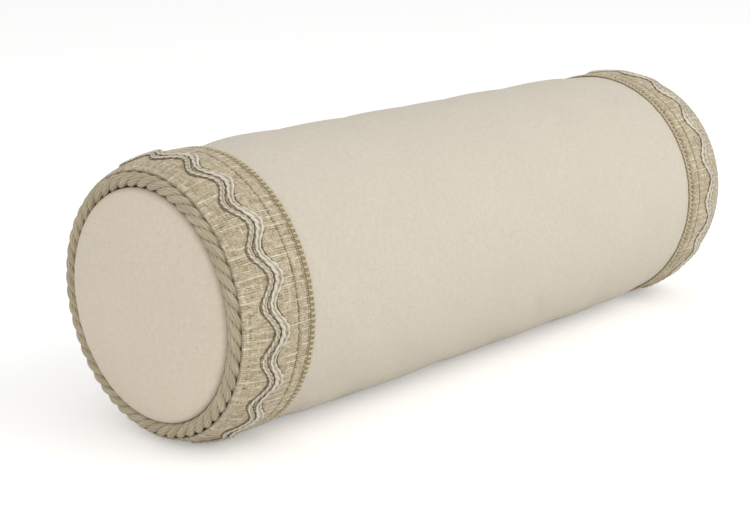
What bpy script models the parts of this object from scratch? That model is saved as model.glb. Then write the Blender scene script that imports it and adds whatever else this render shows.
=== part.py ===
"""Bolster pillow: a zipped linen cover with corded, trimmed ends over a foam and batting insert.

The pillow lies along X with its underside pressed flat on z = 0 and its middle at x = 0.
"x" inside the functions below is often the distance from an end's seam towards the middle.
"""

import math

import bmesh
import bpy
from mathutils import Matrix, Vector

MM = 0.001
TURN = 2.0 * math.pi

# cover
COVER_RADIUS = 88.9 * MM
SEAM_LENGTH = 513.4 * MM
HALF = SEAM_LENGTH / 2.0
LINEN = 0.9 * MM
GAP = 0.3 * MM
SHOULDER_LENGTH = 34.0 * MM
SHOULDER_DROP = 7.1 * MM
SHOULDER_POWER = 2.2
SEAM_X = 6.8 * MM
FLANGE_INNER = 73.7 * MM
FLANGE_OUTER = 80.3 * MM

# domed ends
DOME_RADIUS = 73.1 * MM
DOME_HEIGHT = 9.0 * MM
DOME_STATIONS = (0.0, 0.575, 0.862, 0.963, 1.0)

# seam cord and its lip tape
CORD_CIRCLE = 77.9 * MM
CORD_X = 1.3 * MM
CORD_RADIUS = 4.4 * MM
LIP = 0.5 * MM
LIP_X = 6.0 * MM

# trim bands
BAND = 1.2 * MM
BAND_RADIUS = COVER_RADIUS + GAP + BAND
BAND_START = 1.5 * MM
BAND_END = 49.2 * MM
PICOT_START = 49.5 * MM
PICOT_END = 53.6 * MM
PICOT = 1.1 * MM

# wavy cords sewn on the bands
WAVES = 17
WAVE_HEIGHT = 4.0 * MM
WAVE_CREST = math.radians(17.2)
WAVE_LIFT = 0.35 * MM
WAVE_CORD = 1.3 * MM
OUTER_WAVE_X = 18.6 * MM
OUTER_WAVE_WIDTH = 4.6 * MM
INNER_WAVE_X = 24.3 * MM
INNER_WAVE_WIDTH = 6.0 * MM

# insert
TICKING = 0.7 * MM
INSERT_RADIUS = 85.4 * MM
INSERT_X = 9.4 * MM
INSERT_DOME_RADIUS = 71.7 * MM
INSERT_DOME_HEIGHT = 7.6 * MM
BATTING_X = 10.5 * MM
CORE_RADIUS = 60.0 * MM

# pressed underside
OUTERMOST = BAND_RADIUS + WAVE_LIFT + WAVE_CORD
PRESS = 4.0 * MM
PRESS_POWER = 6
AXIS_HEIGHT = OUTERMOST - PRESS

# zip, in its own frame: x along the pillow, across round it, out away from the axis
ZIP_ANGLE = math.radians(8.0)
SLOT_HALF_LENGTH = 176.0 * MM
SLOT_HALF_WIDTH = 4.7 * MM
TAPE_HALF_LENGTH = 185.0 * MM
TAPE_INNER = 0.65 * MM
TAPE_OUTER = 14.0 * MM
TAPE_LOW, TAPE_HIGH = 86.9 * MM, 87.4 * MM
COIL_HALF_LENGTH = 170.5 * MM
COIL_OUTER = 3.0 * MM
COIL_LOW, COIL_HIGH = 87.7 * MM, 89.3 * MM
STOP_START, STOP_LENGTH = 171.0 * MM, 2.5 * MM
STOP_OUTER = 3.2 * MM
STOP_HIGH = 89.5 * MM
SLIDER_X = -165.0 * MM
SLIDER_HALF_LENGTH = 5.0 * MM
SLIDER_HALF_WIDTH = 4.2 * MM
PLATE_LOW, PLATE_HIGH = 89.6 * MM, 90.5 * MM
UNDER_LOW, UNDER_HIGH = 85.9 * MM, 86.6 * MM
WEB_HALF_WIDTH = 0.35 * MM
HINGE_OUT = 91.3 * MM
BRIDGE_LOW, BRIDGE_HIGH = 92.1 * MM, 93.0 * MM
TAB_THICKNESS = 0.8 * MM

SIDES = 44
INNER_SIDES = 22

COLOURS = {
    "linen": (0.69, 0.63, 0.53),
    "trim": (0.47, 0.40, 0.27),
    "cord": (0.46, 0.40, 0.28),
    "satin": (0.56, 0.51, 0.42),
    "ticking": (0.80, 0.78, 0.72),
    "batting": (0.86, 0.86, 0.84),
    "foam": (0.80, 0.72, 0.50),
    "zip_tape": (0.62, 0.56, 0.45),
    "zip_coil": (0.60, 0.53, 0.42),
    "zip_metal": (0.55, 0.47, 0.32),
}


def remove_old_objects():
    for old in list(bpy.data.objects):
        bpy.data.objects.remove(old, do_unlink=True)


def new_collection(name):
    collection = bpy.data.collections.new(name)
    bpy.context.scene.collection.children.link(collection)
    return collection


def new_material(name, metallic=0.0, roughness=0.9):
    material = bpy.data.materials.new(name)
    material.use_nodes = True
    shader = material.node_tree.nodes["Principled BSDF"]
    shader.inputs["Base Color"].default_value = (*COLOURS[name], 1.0)
    shader.inputs["Roughness"].default_value = roughness
    shader.inputs["Metallic"].default_value = metallic
    return material


def shoulder(x):
    """How far the round profile has come in at x from the end seam."""
    return SHOULDER_DROP * max(0.0, 1.0 - x / SHOULDER_LENGTH) ** SHOULDER_POWER


def layer(radius, stations):
    """Points (x, r) of a layer that has this radius in the middle of the pillow."""
    return [(x, radius - shoulder(x)) for x in stations]


def dome(radius, height):
    """Points (x, r) of a puffed round end, from its middle to its edge."""
    return [(-height * math.sqrt(1.0 - part**4), radius * part) for part in DOME_STATIONS]


def at_end(side, points):
    """Points given from an end seam, placed at the left (-1) or right (1) end."""
    return [(side * (HALF - x), r) for x, r in points]


def both_ends(points):
    """Points given from the left end, then their mirror image back out to the right end."""
    return at_end(-1, points) + at_end(1, points[::-1])


def pressed(point):
    """The point on the pillow standing on z = 0, with the layers' undersides pressed flat."""
    x, y, z = point
    nominal = math.hypot(y, z) + shoulder(HALF - abs(x))
    floor = nominal - PRESS * (nominal / OUTERMOST) ** PRESS_POWER
    return Vector((x, y, max(z, -floor) + AXIS_HEIGHT))


def finished(name, bm, material, smooth=True):
    """The bmesh as an object of the pillow, closed and facing out."""
    bmesh.ops.remove_doubles(bm, verts=bm.verts, dist=0.00001)
    bmesh.ops.triangulate(bm, faces=bm.faces, quad_method="SHORT_EDGE")
    bmesh.ops.recalc_face_normals(bm, faces=bm.faces)
    if bm.calc_volume(signed=True) < 0.0:
        bmesh.ops.reverse_faces(bm, faces=bm.faces)
    mesh = bpy.data.meshes.new(name)
    bm.to_mesh(mesh)
    bm.free()
    mesh.materials.append(material)
    if smooth:
        mesh.shade_smooth()
        mesh.set_sharp_from_angle(angle=math.radians(35.0))
    placed = bpy.data.objects.new(name, mesh)
    pillow.objects.link(placed)
    return placed


def turned(name, outline, material, sides=SIDES):
    """An outline of (x, r) points, closed or from pole to pole, turned about the pillow's axis."""
    points = [(r, 0.0, x) for x, r in outline]
    edges = [(i, i + 1) for i in range(len(points) - 1)]
    if outline[0][1] > 0.0:
        edges.append((len(points) - 1, 0))
    mesh = bpy.data.meshes.new(name)
    mesh.from_pydata(points, edges, [])
    guide = bpy.data.objects.new(name + "_outline", mesh)
    guides.objects.link(guide)
    screw = guide.modifiers.new("Turn", "SCREW")
    screw.axis = "Z"
    screw.steps = sides
    screw.render_steps = sides
    screw.use_merge_vertices = True
    screw.merge_threshold = 0.00002
    bpy.context.view_layer.update()
    evaluated = guide.evaluated_get(bpy.context.evaluated_depsgraph_get())
    spun = bpy.data.meshes.new_from_object(evaluated)
    bpy.data.objects.remove(guide, do_unlink=True)
    bm = bmesh.new()
    bm.from_mesh(spun)
    bpy.data.meshes.remove(spun)
    bmesh.ops.transform(bm, matrix=Matrix.Rotation(math.pi / 2.0, 4, "Y"), verts=bm.verts)
    for vert in bm.verts:
        vert.co = pressed(vert.co)
    return finished(name, bm, material)


def wrapped(name, along, corners, place, material):
    """A grid closed both ways: place(angle, corner) puts a section's corner at an angle round the axis."""
    bm = bmesh.new()
    bmesh.ops.create_grid(bm, x_segments=along, y_segments=corners, size=0.5)
    for vert in bm.verts:
        corner = round((vert.co.y + 0.5) * corners) % corners
        vert.co = pressed(place((vert.co.x + 0.5) * TURN, corner))
    return finished(name, bm, material)


def linen_cover(material):
    """The body tube, whose ends turn in to the seams, and the two puffed ends."""
    outer = [(SEAM_X, FLANGE_INNER)] + layer(COVER_RADIUS, (SEAM_X, 14.0 * MM, SHOULDER_LENGTH))
    turn_in = SEAM_X + LINEN
    inner = [(turn_in, FLANGE_INNER)] + layer(COVER_RADIUS - LINEN, (turn_in, 14.0 * MM, SHOULDER_LENGTH))
    body = turned("body_panel", both_ends(outer) + both_ends(inner)[::-1], material)
    slot = Vector((2.0 * SLOT_HALF_LENGTH, 2.0 * SLOT_HALF_WIDTH, 10.0 * MM))
    cutter = zip_block("zip_slot", Vector((0.0, 0.0, COVER_RADIUS)), slot, material)
    pillow.objects.unlink(cutter)
    guides.objects.link(cutter)
    cutter.display_type = "WIRE"
    cutter.hide_render = True
    cut = body.modifiers.new("Zip slot", "BOOLEAN")
    cut.operation = "DIFFERENCE"
    cut.object = cutter

    flange = turn_in + GAP
    for side, word in ENDS:
        outside = dome(DOME_RADIUS, DOME_HEIGHT)
        inside = dome(DOME_RADIUS - LINEN, DOME_HEIGHT - LINEN)
        hem = [
            (flange, DOME_RADIUS),
            (flange, FLANGE_OUTER),
            (flange + LINEN, FLANGE_OUTER),
            (flange + LINEN, DOME_RADIUS - LINEN),
        ]
        turned("end_panel_" + word, at_end(side, outside + hem + inside[::-1]), material)


def seam_cord(side, word, cord, lip):
    """The round cord lying in the end seam, and the flat tape it is sewn to."""
    corners = 8

    def round_section(angle, corner):
        turn = TURN * (corner + 0.5) / corners
        r = CORD_CIRCLE + CORD_RADIUS * math.cos(turn)
        x = CORD_X + CORD_RADIUS * math.sin(turn)
        return side * (HALF - x), r * math.sin(angle), r * math.cos(angle)

    wrapped("seam_cord_" + word, SIDES, corners, round_section, cord)
    ring = [
        (LIP_X, FLANGE_INNER),
        (LIP_X, FLANGE_OUTER),
        (LIP_X + LIP, FLANGE_OUTER),
        (LIP_X + LIP, FLANGE_INNER),
    ]
    turned("cord_lip_" + word, at_end(side, ring), lip)


def trim_band(side, word, material):
    """The woven band over the cover's shoulder, and the picot edging along its inner border."""
    stations = (BAND_START, SEAM_X, 14.0 * MM, SHOULDER_LENGTH, BAND_END)
    outer = layer(BAND_RADIUS, stations)
    inner = layer(BAND_RADIUS - BAND, stations)
    turned("trim_band_" + word, at_end(side, outer + inner[::-1]), material)
    outer = layer(BAND_RADIUS, (PICOT_START, PICOT_END))
    inner = layer(BAND_RADIUS - PICOT, (PICOT_START, PICOT_END))
    turned("picot_edge_" + word, at_end(side, outer + inner[::-1]), material)


def wave_cord(side, name, middle, width, material):
    """A flat cord that waves round the band, four stations to a wave."""

    def flat_section(angle, corner):
        swing = -WAVE_HEIGHT * math.cos(WAVES * angle)
        x = middle + swing + width * (0.5 if corner in (1, 2) else -0.5)
        lift = WAVE_LIFT + (WAVE_CORD if corner in (2, 3) else 0.0)
        r = BAND_RADIUS + lift - shoulder(x)
        round_at = angle + WAVE_CREST
        return side * (HALF - x), -r * math.sin(round_at), r * math.cos(round_at)

    wrapped(name, 4 * WAVES, 4, flat_section, material)


def insert(ticking, batting, foam):
    """The insert's ticking case with its batting and foam core."""
    stations = (INSERT_X, 14.0 * MM, SHOULDER_LENGTH)
    outer = both_ends(layer(INSERT_RADIUS, stations))
    inner = both_ends(layer(INSERT_RADIUS - TICKING, stations))
    turned("insert_tube", outer + inner[::-1], ticking, INNER_SIDES)

    rim = INSERT_RADIUS - TICKING - GAP - shoulder(INSERT_X)
    for side, word in ENDS:
        outside = dome(INSERT_DOME_RADIUS, INSERT_DOME_HEIGHT)
        inside = dome(INSERT_DOME_RADIUS - TICKING, INSERT_DOME_HEIGHT - TICKING)
        hem = [
            (INSERT_X, INSERT_DOME_RADIUS),
            (INSERT_X, rim),
            (INSERT_X + TICKING, rim),
            (INSERT_X + TICKING, INSERT_DOME_RADIUS - TICKING),
        ]
        turned("insert_end_" + word, at_end(side, outside + hem + inside[::-1]), ticking, INNER_SIDES)

    stations = (BATTING_X, 14.0 * MM, SHOULDER_LENGTH)
    outer = both_ends(layer(INSERT_RADIUS - TICKING - GAP, stations))
    bore = both_ends([(BATTING_X, CORE_RADIUS + GAP)])
    turned("batting_wrap", outer + bore[::-1], batting, INNER_SIDES)

    core_end = [(-6.1 * MM, 0.0), (-5.9 * MM, 40.0 * MM), (-3.9 * MM, 57.0 * MM), (-0.5 * MM, CORE_RADIUS)]
    turned("foam_core", both_ends(core_end), foam, INNER_SIDES)


def zip_frame():
    """Turns the zip's own (along, down the pillow's back, out) into the pillow's x, y, z."""
    return Matrix.Translation((0.0, 0.0, AXIS_HEIGHT)) @ Matrix.Rotation(ZIP_ANGLE - math.pi / 2.0, 4, "X")


def zip_block(name, middle, size, material, taper=1.0):
    """A box in the zip's frame, its far end along x narrowed by taper."""
    bm = bmesh.new()
    bmesh.ops.create_cube(bm, size=1.0)
    for vert in bm.verts:
        narrow = taper if vert.co.x > 0.0 else 1.0
        offset = Vector((vert.co.x * size.x, vert.co.y * size.y * narrow, vert.co.z * size.z))
        vert.co = zip_frame() @ (middle + offset)
    return finished(name, bm, material, smooth=False)


def span(low, high):
    """Middle and length of a stretch."""
    return (low + high) / 2.0, high - low


def block_between(name, along, across, out, material, taper=1.0):
    (x, length), (y, width), (z, height) = span(*along), span(*across), span(*out)
    return zip_block(name, Vector((x, y, z)), Vector((length, width, height)), material, taper)


def zip_tape(word, way, material):
    """A tape that follows the cover's inner face round from the zip's middle."""
    bm = bmesh.new()
    bmesh.ops.create_cube(bm, size=1.0)
    ends = [edge for edge in bm.edges if abs(edge.verts[0].co.y - edge.verts[1].co.y) > 0.5]
    bmesh.ops.subdivide_edges(bm, edges=ends, cuts=3, use_grid_fill=True)
    middle, width = span(TAPE_INNER, TAPE_OUTER)
    for vert in bm.verts:
        r = TAPE_HIGH if vert.co.z > 0.0 else TAPE_LOW
        angle = ZIP_ANGLE + way * (middle + vert.co.y * width) / TAPE_HIGH
        x = 2.0 * TAPE_HALF_LENGTH * vert.co.x
        vert.co = Vector((x, r * math.cos(angle), r * math.sin(angle) + AXIS_HEIGHT))
    return finished("zipper_tape_" + word, bm, material, smooth=False)


def zip_chain(tape, coil, metal):
    """Tapes, coils and stops, which stay on the cover."""
    stop_end = STOP_START + STOP_LENGTH
    for way, word in ((1, "upper"), (-1, "lower")):
        zip_tape(word, way, tape)
        across = sorted((-way * TAPE_INNER, -way * COIL_OUTER))
        along = (-COIL_HALF_LENGTH, COIL_HALF_LENGTH)
        block_between("zipper_coil_" + word, along, across, (COIL_LOW, COIL_HIGH), coil)
        across = sorted((-way * TAPE_INNER, -way * STOP_OUTER))
        along = (-stop_end, -STOP_START)
        block_between("zipper_top_stop_" + word, along, across, (COIL_LOW, STOP_HIGH), metal)
    across = (-STOP_OUTER, STOP_OUTER)
    block_between("zipper_bottom_stop", (STOP_START, stop_end), across, (COIL_LOW, STOP_HIGH), metal)


def united(base, others):
    """The base with the other blocks welded to it by Boolean unions."""
    for other in others:
        pillow.objects.unlink(other)
        guides.objects.link(other)
        other.display_type = "WIRE"
        other.hide_render = True
        join = base.modifiers.new("Join " + other.name, "BOOLEAN")
        join.operation = "UNION"
        join.object = other


def zip_slider(metal):
    """Two plates joined by a web between the coils, with side flanges and a bridge for the pull."""

    def block(name, along, across, out, taper=1.0):
        moved = (SLIDER_X + along[0], SLIDER_X + along[1])
        return block_between(name, moved, across, out, metal, taper)

    long, wide = SLIDER_HALF_LENGTH, SLIDER_HALF_WIDTH
    bite = 0.1 * MM
    flange_in = COIL_OUTER + GAP
    post_in, post_out, post_half = 2.2 * MM, 3.1 * MM, 0.7 * MM
    bridge_end, bridge_half = 3.2 * MM, 0.8 * MM
    slider = block("zipper_slider", (-long, long), (-wide, wide), (PLATE_LOW, PLATE_HIGH), 0.85)
    parts = [
        block("slider_under", (-long, long), (-wide, wide), (UNDER_LOW, UNDER_HIGH), 0.85),
        block(
            "slider_web",
            (-long + 0.6 * MM, 1.0 * MM),
            (-WEB_HALF_WIDTH, WEB_HALF_WIDTH),
            (UNDER_HIGH - bite, PLATE_LOW + bite),
        ),
        block(
            "slider_bridge",
            (-bridge_end, bridge_end),
            (-bridge_half, bridge_half),
            (BRIDGE_LOW, BRIDGE_HIGH),
        ),
    ]
    for way, word in ((-1, "back"), (1, "front")):
        along = sorted((way * post_in, way * post_out))
        out = (PLATE_HIGH - bite, BRIDGE_LOW + bite)
        parts.append(block("slider_post_" + word, along, (-post_half, post_half), out))
        across = sorted((way * flange_in, way * (wide - bite)))
        out = (COIL_LOW, PLATE_LOW + bite)
        parts.append(block("slider_flange_" + word, (-long + bite, -bite), across, out))
    united(slider, parts)


def rectangle(curve, low_x, high_x, half_width):
    """One closed four-point spline of a flat curve."""
    spline = curve.splines.new("POLY")
    spline.points.add(3)
    corners = ((low_x, -half_width), (high_x, -half_width), (high_x, half_width), (low_x, half_width))
    for point, (x, y) in zip(spline.points, corners):
        point.co = (x, y, 0.0, 1.0)
    spline.use_cyclic_u = True


def zip_pull(metal):
    """A flat pull whose end bar lies under the slider's bridge, its origin on the hinge axis."""
    curve = bpy.data.curves.new("zipper_pull", "CURVE")
    curve.dimensions = "2D"
    curve.fill_mode = "BOTH"
    curve.extrude = TAB_THICKNESS / 2.0
    rectangle(curve, -0.4 * MM, 24.0 * MM, 2.5 * MM)
    rectangle(curve, 0.4 * MM, 4.2 * MM, 1.3 * MM)
    rectangle(curve, 18.0 * MM, 22.0 * MM, 1.2 * MM)
    flat = bpy.data.objects.new("pull_outline", curve)
    guides.objects.link(flat)
    bpy.context.view_layer.update()
    evaluated = flat.evaluated_get(bpy.context.evaluated_depsgraph_get())
    mesh = bpy.data.meshes.new_from_object(evaluated)
    bpy.data.objects.remove(flat, do_unlink=True)
    bm = bmesh.new()
    bm.from_mesh(mesh)
    bpy.data.meshes.remove(mesh)
    pull = finished("zipper_pull", bm, metal, smooth=False)
    pull.matrix_world = zip_frame() @ Matrix.Translation((SLIDER_X, 0.0, HINGE_OUT))
    return pull


ENDS = ((-1, "left"), (1, "right"))

remove_old_objects()
pillow = new_collection("bolster_pillow")
guides = new_collection("cutters")

linen_material = new_material("linen")
trim_material = new_material("trim")
cord_material = new_material("cord", roughness=0.6)
satin_material = new_material("satin", roughness=0.45)
ticking_material = new_material("ticking")
metal_material = new_material("zip_metal", metallic=1.0, roughness=0.35)

insert(ticking_material, new_material("batting"), new_material("foam"))
linen_cover(linen_material)
for end_side, end_word in ENDS:
    seam_cord(end_side, end_word, cord_material, ticking_material)
    trim_band(end_side, end_word, trim_material)
    wave_cord(end_side, "wave_cord_outer_" + end_word, OUTER_WAVE_X, OUTER_WAVE_WIDTH, satin_material)
    wave_cord(end_side, "wave_cord_inner_" + end_word, INNER_WAVE_X, INNER_WAVE_WIDTH, satin_material)
zip_chain(new_material("zip_tape"), new_material("zip_coil", roughness=0.4), metal_material)
zip_slider(metal_material)
zip_pull(metal_material)
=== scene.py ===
import math

import bpy
import numpy as np
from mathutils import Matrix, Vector


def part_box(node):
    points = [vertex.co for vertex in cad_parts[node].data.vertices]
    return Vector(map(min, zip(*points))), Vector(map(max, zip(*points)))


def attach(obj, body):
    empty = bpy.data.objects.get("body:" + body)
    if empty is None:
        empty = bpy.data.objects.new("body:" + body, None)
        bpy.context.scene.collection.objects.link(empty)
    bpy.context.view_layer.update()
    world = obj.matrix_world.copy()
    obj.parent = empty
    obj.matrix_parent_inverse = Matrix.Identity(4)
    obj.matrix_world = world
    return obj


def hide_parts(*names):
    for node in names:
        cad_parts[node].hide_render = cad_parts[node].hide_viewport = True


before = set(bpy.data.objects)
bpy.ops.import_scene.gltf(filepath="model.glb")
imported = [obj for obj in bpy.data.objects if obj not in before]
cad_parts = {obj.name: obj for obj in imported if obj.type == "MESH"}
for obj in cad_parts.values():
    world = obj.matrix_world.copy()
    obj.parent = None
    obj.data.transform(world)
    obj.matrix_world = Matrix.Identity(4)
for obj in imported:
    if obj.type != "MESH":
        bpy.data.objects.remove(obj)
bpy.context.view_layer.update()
print("Frame:", len(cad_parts), "nodes")

mm = 0.001
turn = 2 * math.pi
ends = ((-1, "left"), (1, "right"))

# The pillow's own shape. Lengths are in metres, and what the frame says is read from it.
bodyLow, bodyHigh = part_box("body_panel")
ropeLow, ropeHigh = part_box("seam_cord_left")
bandLow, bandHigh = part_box("trim_band_left")
stopLow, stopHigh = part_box("zipper_bottom_stop")
pillow = {
    "seamDepth": 6.8 * mm,        # from an end seam's plane in to the turned-in linen
    "shoulderLength": 34 * mm,    # the stretch over which the ends round off
    "shoulderDrop": 7.1 * mm,
    "shoulderPower": 2.2,
    "press": 4.0 * mm,            # how far the outermost layer is pressed flat underneath
    "pressPower": 6,
    "pressEase": 1.6 * mm,        # softens the edges of the flat underside
}
axisHeight = (ropeLow.z + ropeHigh.z) / 2
bodyRadius = (bodyHigh.y - bodyLow.y) / 2
bandRadius = (bandHigh.y - bandLow.y) / 2
halfSeam = bodyHigh.x + pillow["seamDepth"]
outermost = axisHeight + pillow["press"]
stopMiddle = (stopLow + stopHigh) / 2
zipAngle = math.atan2(stopMiddle.z - axisHeight, stopMiddle.y)   # above the horizontal, at the back
zipRound = zipAngle - turn / 4                                   # the same line, as an angle round the axis


# camera, floor and lights

studio = {
    "azimuth": -46.56, "elevation": 15.174,   # degrees
    "distance": 1.1133, "right": -0.03928, "up": -0.01735,
    "lens": 73.886,
    "worldStrength": 0.66,
    "floorColour": (250, 250, 249), "floorGlow": 0.3,
    "floorHalf": 6.0, "floorRoughness": 0.9,
    "keyPower": 15.5, "keySize": 1.6, "keyPlace": (0.75, -1.5, 1.35),
    "fillPower": 4, "fillSize": 1.4, "fillPlace": (-1.5, -0.5, 0.9),
}


def srgb(red, green, blue):
    # display values from 0 to 255 as the linear colour that a shader takes
    parts = [value / 255 for value in (red, green, blue)]
    return [p / 12.92 if p <= 0.04045 else ((p + 0.055) / 1.055) ** 2.4 for p in parts] + [1.0]


def rayStrength(tree, socket, seenStrength, otherStrength):
    # a strength for what the camera sees directly, and another for every other ray
    seen = adder(tree)("ShaderNodeLightPath").outputs["Is Camera Ray"]
    strength = sums(adder(tree))("MULTIPLY_ADD", seen, seenStrength - otherStrength, otherStrength)
    tree.links.new(strength, socket)


def setStudio():
    # the camera stands at distance * its direction from the pillow's middle, moved aside by right and up; the
    # world and the floor look white to the camera only
    scene = bpy.context.scene
    scene.view_settings.view_transform = "Standard"
    azimuth, elevation = math.radians(studio["azimuth"]), math.radians(studio["elevation"])
    back = Vector((
        math.sin(azimuth) * math.cos(elevation),
        -math.cos(azimuth) * math.cos(elevation),
        math.sin(elevation),
    ))
    right = Vector((math.cos(azimuth), math.sin(azimuth), 0))
    middle = Vector((0, 0, axisHeight))
    camera = bpy.data.objects.new("camera", bpy.data.cameras.new("camera"))
    scene.collection.objects.link(camera)
    offset = right * studio["right"] + back.cross(right) * studio["up"]
    camera.location = middle + back * studio["distance"] + offset
    camera.rotation_mode = "QUATERNION"
    camera.rotation_quaternion = (-back).to_track_quat("-Z", "Y")
    camera.data.lens = studio["lens"]
    camera.data.sensor_width = 36
    camera.data.clip_start = 0.01
    scene.camera = camera

    world = bpy.data.worlds.new("studio")
    world.use_nodes = True
    background = world.node_tree.nodes["Background"]
    background.inputs["Color"].default_value = (1, 1, 1, 1)
    rayStrength(world.node_tree, background.inputs["Strength"], 1, studio["worldStrength"])
    scene.world = world

    for name in ("key", "fill"):
        place = Vector(studio[name + "Place"])
        light = bpy.data.lights.new(name, "AREA")
        light.energy = studio[name + "Power"]
        light.size = studio[name + "Size"]
        lamp = bpy.data.objects.new(name, light)
        scene.collection.objects.link(lamp)
        lamp.location = place
        lamp.rotation_mode = "QUATERNION"
        lamp.rotation_quaternion = (place - middle).to_track_quat("Z", "Y")

    mesh = bpy.data.meshes.new("floor")
    half = studio["floorHalf"]
    corners = [(-half, -half, 0), (half, -half, 0), (half, half, 0), (-half, half, 0)]
    mesh.from_pydata(corners, [], [(0, 1, 2, 3)])
    floor = bpy.data.objects.new("floor", mesh)
    scene.collection.objects.link(floor)
    paint = bpy.data.materials.new("floor")
    paint.use_nodes = True
    shader = paint.node_tree.nodes["Principled BSDF"]
    shader.inputs["Base Color"].default_value = srgb(*studio["floorColour"])
    shader.inputs["Roughness"].default_value = studio["floorRoughness"]
    shader.inputs["Specular IOR Level"].default_value = 0.0
    shader.inputs["Emission Color"].default_value = (1, 1, 1, 1)
    rayStrength(paint.node_tree, shader.inputs["Emission Strength"], studio["floorGlow"], 0)
    mesh.materials.append(paint)


# the pillow's curved space

def shoulder(x):
    # how far the round profile has come in, x from the end seam: drop * (1 - x / length) ^ power
    part = np.clip(1 - x / pillow["shoulderLength"], 0, None)
    return pillow["shoulderDrop"] * part ** pillow["shoulderPower"]


def pressed(points):
    # stands points on the floor: z stops at -(n - press * (n / outermost) ^ power), eased, n being the
    # layer's radius in the middle of the pillow
    x, y, z = points[..., 0], points[..., 1], points[..., 2]
    nominal = np.hypot(y, z) + shoulder(halfSeam - np.abs(x))
    lowest = pillow["press"] * (nominal / outermost) ** pillow["pressPower"] - nominal
    ease = pillow["pressEase"]
    above = z - lowest
    eased = np.where(above > ease, above, np.clip(above + ease, 0, None) ** 2 / (4 * ease))
    height = np.clip(lowest + eased + axisHeight, 0, None)
    return np.stack([x, y, height], axis=-1)


def stacked(*fields):
    # fields of any matching shapes as one array of points
    return np.stack(np.broadcast_arrays(*fields), axis=-1)


def roundAxis(x, radius, angle):
    # points at x, radius out from the axis, angle round it from the top towards the front
    return stacked(x, -radius * np.sin(angle), radius * np.cos(angle))


def atEnd(side, x, radius, angle):
    # points round the axis, x in from an end's seam, and stood on the floor
    return pressed(roundAxis(side * (halfSeam - x), radius, angle))


def onZip(along, across, out):
    # points in the zip's frame: along the pillow, across it up the back, and out from the axis
    cos, sin = math.cos(zipAngle), math.sin(zipAngle)
    return stacked(along, out * cos - across * sin, out * sin + across * cos + axisHeight)


def circle(count, closed=False):
    # angles in even steps round a circle; closed adds the full turn at the end
    return np.arange(count + closed) / count * turn


def unit(vectors):
    # the same directions with a length of 1
    return vectors / np.linalg.norm(vectors, axis=-1, keepdims=True)


def ringTangents(line):
    # directions along a closed line of points, from each one's neighbours
    return unit(np.roll(line, -1, axis=0) - np.roll(line, 1, axis=0))


def tube(line, radius, first, second, section):
    # rings of points round a line: radius * (cos * first + sin * second)
    section = section[None, :, None]
    return line[:, None] + radius * (np.cos(section) * first[:, None] + np.sin(section) * second[:, None])


def unevenness(angle, x, seed, around=9, along=40.0, count=16):
    # a smooth random field of about -1 to 1: cosines with whole numbers of waves round the axis
    dice = np.random.default_rng(seed)
    total = 0
    for _ in range(count):
        waves = int(dice.integers(0, around + 1))
        total = total + np.cos(waves * angle + dice.normal() * along * x + dice.uniform(0, turn))
    return total / math.sqrt(2 * count)


def bump(distance, width):
    # a soft bump, 1 in its middle and falling as exp(-(distance / width)^2)
    return np.exp(-(distance / width) ** 2)


def step(low, high, value):
    # 0 below low, 1 above high, with a smooth rise between
    part = np.clip((value - low) / (high - low), 0, 1)
    return part * part * (3 - 2 * part)


# meshes from grids

def grid(points, uv, wrapRows=False, wrapColumns=True, caps=False, **values):
    # quads between neighbours in a (rows, columns) array of points; uv is a line of u for the columns and of
    # v for the rows, each one longer where the grid closes on itself, or an array like points; caps close
    # both ends
    rows, columns = points.shape[:2]
    i, j = np.meshgrid(np.arange(rows - 1 + wrapRows), np.arange(columns - 1 + wrapColumns), indexing="ij")
    down, over = i + 1, j + 1
    rowAt = np.stack([i, i, down, down], axis=-1)
    columnAt = np.stack([j, over, over, j], axis=-1)
    loops = (rowAt % rows) * columns + columnAt % columns
    if isinstance(uv, tuple):
        corners = np.stack([uv[0][columnAt], uv[1][rowAt]], axis=-1)
    else:
        corners = uv[rowAt % rows, columnAt % columns]
    flat = points.reshape(-1, 3)
    centred = flat - flat.mean(0)
    a, b, c, d = (centred[loops[..., k].ravel()] for k in range(4))
    volume = (a * np.cross(b, c) + a * np.cross(c, d)).sum()
    lists, cornerLists = [loops.reshape(-1)], [corners.reshape(-1, 2)]
    totals = [np.full(loops[..., 0].size, 4)]
    if caps:
        for row, order in ((0, slice(None, None, -1)), (rows - 1, slice(None))):
            ring = np.arange(columns)[order]
            lists.append(row * columns + ring)
            if isinstance(uv, tuple):
                cornerLists.append(np.stack([uv[0][ring], np.full(columns, uv[1][row])], axis=-1))
            else:
                cornerLists.append(uv[row, ring])
            totals.append(np.array([columns]))
    part = {
        "points": flat, "loops": np.concatenate(lists), "totals": np.concatenate(totals),
        "uv": np.concatenate(cornerLists),
        "values": {key: np.broadcast_to(value, points.shape[:2]).ravel() for key, value in values.items()},
    }
    return turnedOver(part) if volume < 0 else part


def turnedOver(part):
    # the same faces with their corners in the other order
    starts = np.cumsum(part["totals"]) - part["totals"]
    order = np.repeat(2 * starts + part["totals"] - 1, part["totals"]) - np.arange(len(part["loops"]))
    return {**part, "loops": part["loops"][order], "uv": part["uv"][order]}


def copies(part, origins, axes):
    # one part placed many times: origin + x * first axis + y * second + z * third, for each copy
    count, size = len(origins), len(part["points"])
    points = origins[:, None, :] + np.einsum("pk,ckd->cpd", part["points"], axes)
    loops = part["loops"][None, :] + size * np.arange(count)[:, None]
    return {
        "points": points.reshape(-1, 3), "loops": loops.ravel(), "totals": np.tile(part["totals"], count),
        "uv": np.tile(part["uv"], (count, 1)),
        "values": {key: np.tile(value, count) for key, value in part["values"].items()},
    }


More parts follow.
